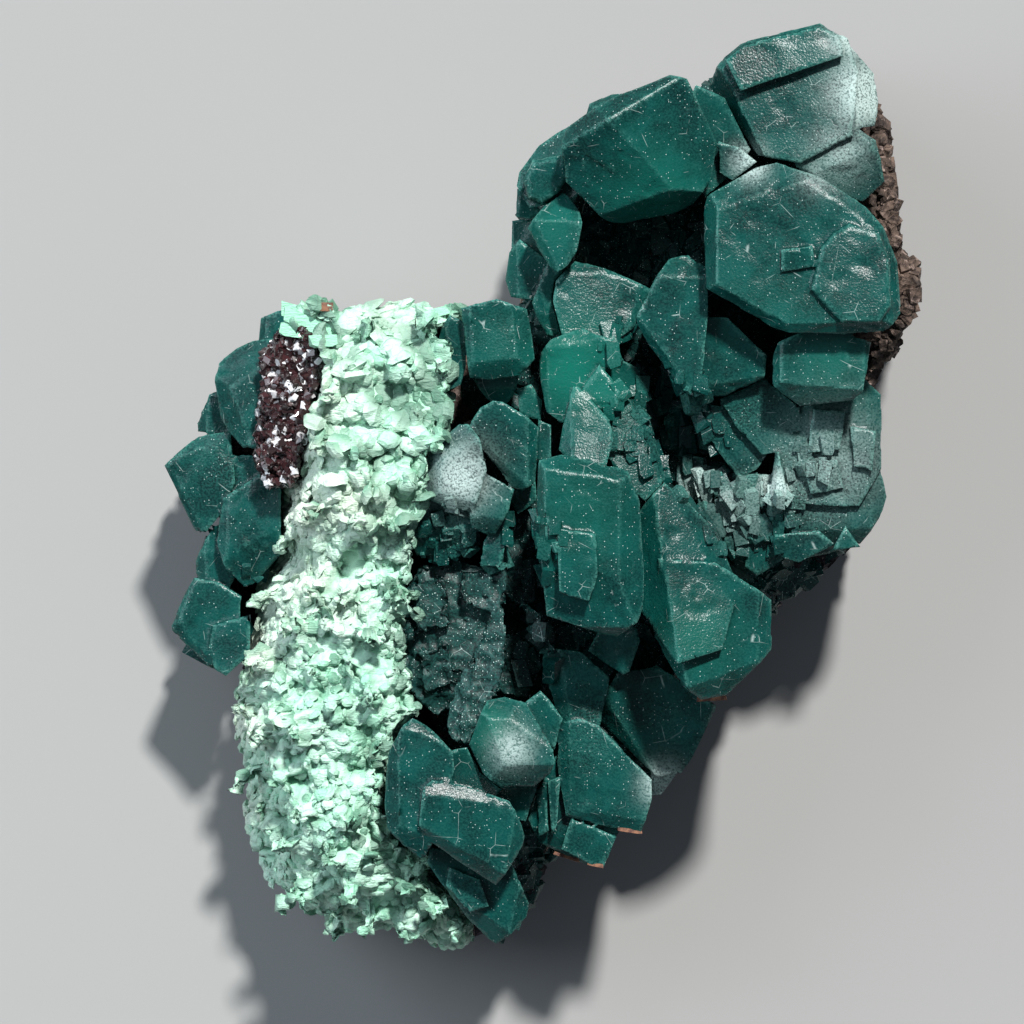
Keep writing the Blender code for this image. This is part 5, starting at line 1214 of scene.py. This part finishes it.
def petal_mesh(name: str, chance: random.Random, sides: int = 11) -> bpy.types.Mesh:
    """One stilbite plate, about 1 mm across: a thin domed shell, jagged and crumpled, growing along X.

    Args:
        name: the mesh's name.
        chance: where its random numbers come from.
        sides: how many corners its rim has.

    Returns:
        The mesh.
    """
    work = bmesh.new()
    half_length, half_width = chance.uniform(0.44, 0.56), chance.uniform(0.46, 0.66)
    rim, upper = [], []
    for side in range(sides):
        angle = 2.0 * math.pi * (side + chance.uniform(-0.3, 0.3)) / sides
        reach = chance.uniform(0.84, 1.1)
        x, y = half_length * math.cos(angle) * reach, half_width * math.sin(angle) * reach
        rim.append(work.verts.new((x, y, chance.uniform(-0.1, 0.03))))
        inner = chance.uniform(0.62, 0.8)
        upper.append(work.verts.new((inner * x, inner * y, chance.uniform(0.08, 0.2))))
    top = (chance.uniform(-0.1, 0.15), chance.uniform(-0.1, 0.1), chance.uniform(0.18, 0.28))
    crown = work.verts.new(top)
    under = work.verts.new((-0.15, 0.0, -0.3))
    for side in range(sides):
        following = (side + 1) % sides
        work.faces.new((rim[side], rim[following], upper[following], upper[side]))
        work.faces.new((upper[side], upper[following], crown))
        work.faces.new((rim[following], rim[side], under))
    bmesh.ops.triangulate(work, faces=work.faces[:])
    bmesh.ops.recalc_face_normals(work, faces=work.faces[:])
    mesh = mesh_of(work, name)
    points = points_of(mesh)
    # Pale towards the rim and top, dark at the root and underneath: painted shade under the plate.
    set_trait(mesh, Trait.TIP, np.clip(0.5 + 0.8 * points[:, 0] + points[:, 2], 0.0, 1.0))
    return mesh


def chip_mesh(name: str, chance: random.Random, height: float = 1.0, length: float = 1.0) -> bpy.types.Mesh:
    """One small blocky crystal, about 1 mm across, with a few cut corners.

    Args:
        name: the mesh's name.
        chance: where its random numbers come from.
        height: how high it is for its width.
        length: how long it is for its width, about.

    Returns:
        The mesh.
    """
    work = bmesh.new()
    length = length * chance.uniform(0.7, 1.2)
    for x in (-0.5, 0.5):
        for y in (-0.5, 0.5):
            for z in (-0.5, 0.5):
                corner = Vector((x * length, y, z * height)) * chance.uniform(0.82, 1.12)
                cut_x = Vector((corner.x * 0.62, corner.y, corner.z))
                cut_y = Vector((corner.x, corner.y * 0.62, corner.z))
                for place in ((corner,) if chance.random() < 0.6 else (cut_x, cut_y)):
                    work.verts.new(place)
    hull = bmesh.ops.convex_hull(work, input=work.verts[:])
    spare = [item for item in hull["geom_interior"] if isinstance(item, bmesh.types.BMVert)]
    bmesh.ops.delete(work, geom=spare, context="VERTS")
    bmesh.ops.recalc_face_normals(work, faces=work.faces[:])
    return mesh_of(work, name)


def roughened(mesh: bpy.types.Mesh, depth: float, pace: float) -> np.ndarray:
    """Cuts uneven hollows into a mesh above its flat back.

    Args:
        mesh: the mesh, in millimetres.
        depth: how deep the hollows are, about.
        pace: how many hollows there are in a millimetre.

    Returns:
        The mesh's new points.
    """
    points, normals = points_of(mesh), normals_of(mesh)
    rough = np.array([noise.fractal(Vector(point) * pace, 0.8, 2.0, 4) for point in points])
    points -= normals * (depth * np.abs(rough) * between_heights(points, 0.5, 2.5))[:, None]
    move_points(mesh, points)
    return points


def ready_to_grow(mesh: bpy.types.Mesh, grows: np.ndarray, size: float | np.ndarray = 1.0) -> None:
    """Stores how small crystals stand on a mesh.

    Args:
        mesh: the mesh.
        grows: how thickly they stand at each point.
        size: how large they are, at each point or everywhere.
    """
    normals = normals_of(mesh)
    set_trait(mesh, Trait.GROW, grows * 1.0)
    set_trait(mesh, Trait.SIZE, np.ones(len(normals)) * size)
    set_directions(mesh, Trait.OUTWARD, normals)
    set_directions(mesh, Trait.LEAN, np.tile((0.0, -1.0, 0.0), (len(normals), 1)))


@dataclass
class CrystalCluster:
    """One cluster of grown-together green crystals, with growth plates on its faces."""

    node: str
    finish: bpy.types.Material
    growth: bpy.types.NodeTree
    scatter: bpy.types.NodeTree
    turn: float = 0.3
    slot: Slot = Slot.APOPHYLLITE
    wall_top: float = 18.0
    face_size: float = 0.57
    plate_size: float = 7.0
    plate_height: float = 0.22
    ripple_height: float = 0.004
    least_crowd: float = 0.25
    wall_share: float = 0.35
    wall_growth: float = 1.3
    little: Strewing = Strewing(0.9, 0.8, 0.6, 2.3, seed=17, tumble=0.28)

    def build(self) -> None:
        """Makes the cluster's pieces."""
        piece = skinned(node_in_millimetres(self.node, f"{self.node}_grown"), self.face_size, Skin.CRISP)
        use_tree(piece, self.growth, {
            "Plate Size": self.plate_size, "Plate Height": self.plate_height, "Turn": self.turn,
            "Ripple Height": self.ripple_height, "Material": self.finish,
        })
        shaped_traits(piece.data)
        self.crowd(piece)
        smooth_shaded(piece.data)
        finished(piece, self.slot, self.node)

    def crowd(self, piece: bpy.types.Object) -> None:
        """Strews small crystals where the cluster is rough and down its walls.

        Args:
            piece: the cluster.
        """
        points, normals = points_of(piece.data), normals_of(piece.data)
        crowded = np.clip(strength_at(points, CROWDED_SPOTS), 0.0, 1.0)
        rough = crowded > self.least_crowd
        low_down = (points[:, 2] < self.wall_top) * (normals[:, 2] > -0.6)
        walls = self.wall_share * np.clip(0.45 - normals[:, 2], 0.0, 1.0) * low_down
        grows = np.maximum(crowded * rough, walls)
        if grows.max() <= 0.0:
            return
        chance = random.Random(self.node)
        shapes = [chip_mesh(f"little_{number}", chance, 1.1, 1.6) for number in range(7)]
        crowd = new_object(f"{self.node}_little", piece.data.copy())
        ready_to_grow(crowd.data, grows, np.where(rough, 1.0, self.wall_growth))
        self.little.strew(crowd, self.scatter, shapes, self.finish)
        finished(crowd, self.slot, self.node)


@dataclass
class StilbiteCrust:
    """The mint crust: a lumpy, creased bed and the thin crumpled plates that stand on it."""

    finish: bpy.types.Material
    lumps: bpy.types.NodeTree
    scatter: bpy.types.NodeTree
    bed_voxel: float = 0.55
    smoothing: int = 4
    mound_height: float = 1.5
    valley_shade: float = 0.3
    lower_steepness: float = 1.6
    lump_size: float = 4.4
    petals: Strewing = Strewing(1.25, 0.55, 1.3, 3.2, seed=4, lift=0.28, tumble=0.32)
    upper_edge: float = -8.0
    middle: float = -24.0

    def build(self) -> None:
        """Makes the bed and the petals."""
        bed = skinned(node_in_millimetres("stilbite_crust", "crust_bed"), self.bed_voxel)
        bed.modifiers.new("smooth", "SMOOTH").iterations = self.smoothing
        baked(bed)
        mesh = bed.data
        set_directions(mesh, Trait.OUTWARD, normals_of(mesh))
        self.heap_up(mesh)
        mound_normals = normals_of(mesh)
        use_tree(bed, self.lumps, {"Lump Size": self.lump_size, "Relief": 1.0, "Material": self.finish})
        mesh = bed.data
        points, normals = points_of(mesh), normals_of(mesh)
        height = get_trait(mesh, Trait.TIP)
        low, high = np.percentile(height, (3.0, 97.0))
        share = np.clip((height - low) / (high - low), 0.0, 1.0)
        upper = np.clip((points[:, 1] - self.upper_edge) / 8.0, 0.0, 1.0)
        set_directions(mesh, Trait.OUTWARD, mound_normals)
        # The bed is darker low down and paler on its tops: painted shade in its low places.
        set_trait(mesh, Trait.TIP, 0.15 + 0.85 * share)
        set_trait(mesh, Trait.TINT, share)
        set_trait(mesh, Trait.FROST, strength_at(points, CREAM_SPOTS))
        set_trait(mesh, Trait.SIZE, 0.8 + 0.5 * upper)
        grows = np.clip(0.35 + share, 0.0, 1.0) * between_heights(points, 1.0, 3.0) * (normals[:, 2] > -0.5)
        above = points[:, 1] > self.middle
        self.strew_petals("crust_petals_1", bed, grows * above, self.petals)
        lower_petals = replace(self.petals, seed=self.petals.seed + 1)
        self.strew_petals("crust_petals_2", bed, grows * ~above, lower_petals)
        smooth_shaded(mesh)
        finished(bed, Slot.STILBITE, "stilbite_crust")

    def heap_at(self, points: np.ndarray) -> np.ndarray:
        """How high the mounds stand at each place, seen from above.

        Args:
            points: the places as rows.

        Returns:
            One number for each: 1 on a top, 0 between mounds.
        """
        heap = np.zeros(len(points))
        for mound in CRUST_MOUNDS:
            across, along = points[:, 0] - mound.x, points[:, 1] - mound.y
            along = np.where(along < 0.0, along * self.lower_steepness, along)
            heap = np.maximum(heap, 1.0 - (across**2 + along**2) / mound.radius**2)
        return heap

    def heap_up(self, mesh: bpy.types.Mesh) -> None:
        """Cuts the crust down between its mounds.

        Args:
            mesh: the bed's mesh.
        """
        points, normals = points_of(mesh), normals_of(mesh)
        facing_up = np.clip(1.6 * normals[:, 2], 0.0, 1.0)
        heap = facing_up * self.heap_at(points) + (1.0 - facing_up) * 0.5
        down = self.mound_height * (1.0 - heap) * between_heights(points, 0.3, 2.3)
        move_points(mesh, points - normals * down[:, None])

    def strew_petals(self, name: str, bed: bpy.types.Object, grows: np.ndarray, petals: Strewing) -> None:
        """Strews the plates of one part of the crust, thickest where it stands highest.

        Args:
            name: the piece's name.
            bed: the crust's bed.
            grows: how thickly the plates stand at each of its points.
            petals: how they are strewn.
        """
        chance = random.Random(petals.seed)
        shapes = [petal_mesh(f"petal_{number}", chance) for number in range(9)]
        carrier = new_object(name, bed.data.copy())
        set_trait(carrier.data, Trait.GROW, grows)
        petals.strew(carrier, self.scatter, shapes, self.finish)
        places = points_of(carrier.data)
        cream = strength_at(places, CREAM_SPOTS)
        shade = self.valley_shade * (1.0 - self.heap_at(places)) ** 2 * (1.0 - 0.9 * cream)
        set_trait(carrier.data, Trait.FROST, cream)
        set_trait(carrier.data, Trait.HOLLOW, shade)
        finished(carrier, Slot.STILBITE, "stilbite_crust")


@dataclass
class DarkDruse:
    """The patch of tiny dark crystals at the crust's upper left."""

    finish: bpy.types.Material
    scatter: bpy.types.NodeTree
    voxel: float = 0.5
    roughness: float = 2.2
    pace: float = 0.28
    bare_below: float = 22.0
    full_above: float = 26.0
    bed_tint: float = 0.2
    grains: Strewing = Strewing(0.42, 5.0, 0.4, 1.2, seed=9)

    def build(self) -> None:
        """Makes the bed and its crystals."""
        bed = skinned(node_in_millimetres("dark_druse", "druse_bed"), self.voxel)
        points = roughened(bed.data, self.roughness, self.pace)
        ready_to_grow(bed.data, between_heights(points, self.bare_below, self.full_above))
        chance = random.Random(31)
        shapes = [chip_mesh(f"grain_{number}", chance) for number in range(5)]
        grains = new_object("druse_grains", bed.data.copy())
        self.grains.strew(grains, self.scatter, shapes, self.finish)
        give_finish(bed.data, self.finish)
        set_trait(bed.data, Trait.TINT, np.full(len(bed.data.vertices), self.bed_tint))
        for piece in (bed, grains):
            finished(piece, Slot.DRUSE, "dark_druse")


@dataclass(frozen=True)
class Chip:
    """One flat little piece seen from above: its middle, length, width, thickness and turn in degrees."""

    x: float
    y: float
    length: float
    width: float
    thickness: float
    turn: float


RUSTY_CHIPS = (
    Chip(26.8, -32.0, 4.8, 0.9, 0.7, 4.0), Chip(4.0, -56.8, 4.8, 0.7, 0.7, -18.0),
    Chip(8.4, -58.0, 2.3, 0.6, 0.6, -10.0), Chip(13.8, -52.6, 3.6, 0.6, 0.6, -8.0),
    Chip(-33.9, 29.4, 3.0, 1.3, 1.4, 0.0),
)
PALE_BLADES = (
    Chip(-37.2, 28.2, 8.6, 2.2, 1.2, -16.0), Chip(-36.4, 26.8, 8.0, 2.2, 1.2, -22.0),
    Chip(-38.4, 25.8, 5.0, 2.4, 1.4, -10.0), Chip(-34.0, 24.0, 3.6, 1.8, 1.2, 4.0),
    Chip(-17.0, 28.6, 5.0, 1.4, 1.2, 14.0),
)


@dataclass
class ChipSet:
    """Chips and blades that lie on the crystals where the photograph shows them."""

    name: str
    chips: tuple[Chip, ...]
    finish: bpy.types.Material
    slot: Slot
    node: str
    ground: BVHTree
    sunk: float = 0.6
    sky: float = 100.0

    def build(self) -> None:
        """Makes the set's piece."""
        chance = random.Random(self.name)
        work = bmesh.new()
        for chip in self.chips:
            turn = Matrix.Rotation(math.radians(chip.turn), 4, "Z")
            size = Matrix.Diagonal((chip.length, chip.width, chip.thickness, 1.0))
            height = self.height_at(chip.x, chip.y) - self.sunk * chip.thickness
            one = chip_mesh("chip", chance)
            one.transform(Matrix.Translation((chip.x, chip.y, height)) @ turn @ size)
            work.from_mesh(one)
            bpy.data.meshes.remove(one)
        mesh = mesh_of(work, self.name)
        give_finish(mesh, self.finish)
        set_trait(mesh, Trait.TIP, np.full(len(mesh.vertices), 0.5))
        finished(new_object(self.name, mesh), self.slot, self.node)

    def height_at(self, x: float, y: float, near: float = 0.8) -> float:
        """How high the specimen stands just round a place.

        Args:
            x: the place's X.
            y: the place's Y.
            near: how far round it heights are taken.

        Returns:
            The middle one of the heights.
        """
        heights = []
        for step_x, step_y in ((0.0, 0.0), (near, 0.0), (-near, 0.0), (0.0, near), (0.0, -near)):
            above = Vector((x + step_x, y + step_y, self.sky))
            place = self.ground.ray_cast(above, Vector((0.0, 0.0, -1.0)))[0]
            if place is not None:
                heights.append(place.z)
        return sorted(heights)[len(heights) // 2]


def ground_tree() -> BVHTree:
    """The whole CAD surface in millimetres, to find heights on.

    Returns:
        The surface, ready for rays.
    """
    corners, faces = [], []
    for node in frame["nodes"].values():
        if node.type != "MESH":
            continue
        first = len(corners)
        corners += [vertex.co * MILLIMETRES for vertex in node.data.vertices]
        faces += [[first + corner for corner in face.vertices] for face in node.data.polygons]
    return BVHTree.FromPolygons(corners, faces)


@dataclass
class HostRock:
    """The host rock, grainy and pitted, with dark little crystals lining the hollows between clusters, their
    darkness painted shade.
    """

    finish: bpy.types.Material
    shaded_lining_finish: bpy.types.Material
    scatter: bpy.types.NodeTree
    voxel: float = 0.95
    roughness: float = 1.1
    pace: float = 0.4
    grain_floor: float = 6.0
    middle_x: float = 6.0
    middle_reach: float = 30.0
    lower_end: float = -30.0
    lining_floor: float = 18.0
    lining_sides: tuple[float, float] = (-16.0, 48.0)
    grains: Strewing = Strewing(0.8, 0.4, 0.4, 2.4, seed=12)
    lining: Strewing = Strewing(0.9, 1.6, 0.8, 3.2, seed=3)

    def build(self) -> None:
        """Makes the rock, its grains and the lining of its hollows."""
        rock = skinned(node_in_millimetres("rock_matrix", "rock_grown"), self.voxel)
        points = roughened(rock.data, self.roughness, self.pace)
        normals = normals_of(rock.data)
        x, y, z = points.T
        near_edge = (np.abs(x - self.middle_x) > self.middle_reach) | (y < self.lower_end)
        grainy = (z > self.grain_floor) * (normals[:, 2] > -0.4) * near_edge
        left, right = self.lining_sides
        hollow = (z > self.lining_floor) * (normals[:, 2] > 0.2) * (x > left) * (x < right)
        ready_to_grow(rock.data, grainy)
        chance = random.Random(77)
        shapes = [chip_mesh(f"crumb_{number}", chance) for number in range(5)]
        grains = new_object("rock_grains", rock.data.copy())
        self.grains.strew(grains, self.scatter, shapes, self.finish)
        lining = new_object("hollow_lining", rock.data.copy())
        set_trait(lining.data, Trait.GROW, hollow * 1.0)
        # The lining takes the darker copy of the crystal finish: painted shade down in the hollows.
        self.lining.strew(lining, self.scatter, shapes, self.shaded_lining_finish)
        set_trait(lining.data, Trait.WEAR, np.zeros(len(lining.data.vertices)))
        give_finish(rock.data, self.finish)
        pieces = ((rock, Slot.ROCK), (grains, Slot.ROCK), (lining, Slot.DARK_APOPHYLLITE))
        for piece, slot in pieces:
            finished(piece, slot, "rock_matrix")


# Each green cluster's node, and how far its growth lines are turned from the specimen's length.
GREEN_CLUSTERS = (
    ("tower_crystals", 0.06), ("great_crystals", 0.5), ("shoulder_crystals", 0.75), ("crown_crystals", -0.35),
    ("centre_crystals", 0.3), ("corner_crystals", 0.2), ("ridge_crystals", 0.5), ("flank_crystals", 0.75),
    ("lower_crystals", 0.6), ("foot_crystals", -0.5), ("left_crystals", -0.6),
)


def main() -> None:
    """Builds every piece in order and reports it."""
    logging.basicConfig(level=logging.INFO, format="%(name)s: %(message)s")
    flaws, surface = flaws_group(), surface_group()
    growth, lumps, scatter = growth_tree(), crust_tree(), scatter_tree()
    green = CrystalFinish("green_apophyllite", flaws, surface).build()
    # A darker copy of the green finish, for the dark block and, as painted shade, for the crystals lining the
    # hollows.
    dark = CrystalFinish(
        "dark_apophyllite", flaws, surface, deep=(0.003, 0.014, 0.014), body=(0.006, 0.036, 0.034),
        glow=(0.005, 0.06, 0.05), edge=(0.05, 0.13, 0.12), dust_share=0.2, roughness=0.4, transmission=0.0,
        shine=0.3,
    ).build()
    for node, turn in GREEN_CLUSTERS:
        CrystalCluster(node, green, growth, scatter, turn).build()
    CrystalCluster(
        "dark_block", dark, growth, scatter, 0.9, Slot.DARK_APOPHYLLITE, plate_size=1.7, plate_height=0.9,
        ripple_height=0.25,
    ).build()
    mint = CrustFinish().build()
    StilbiteCrust(mint, lumps, scatter).build()
    ground = ground_tree()
    ChipSet("rusty_chips", RUSTY_CHIPS, RustFinish().build(), Slot.ROCK, "rock_matrix", ground).build()
    ChipSet("pale_blades", PALE_BLADES, mint, Slot.STILBITE, "stilbite_crust", ground).build()
    DarkDruse(DruseFinish().build(), scatter).build()
    HostRock(RockFinish().build(), dark, scatter).build()
    Studio().build()


if __name__ == "__main__":
    main()
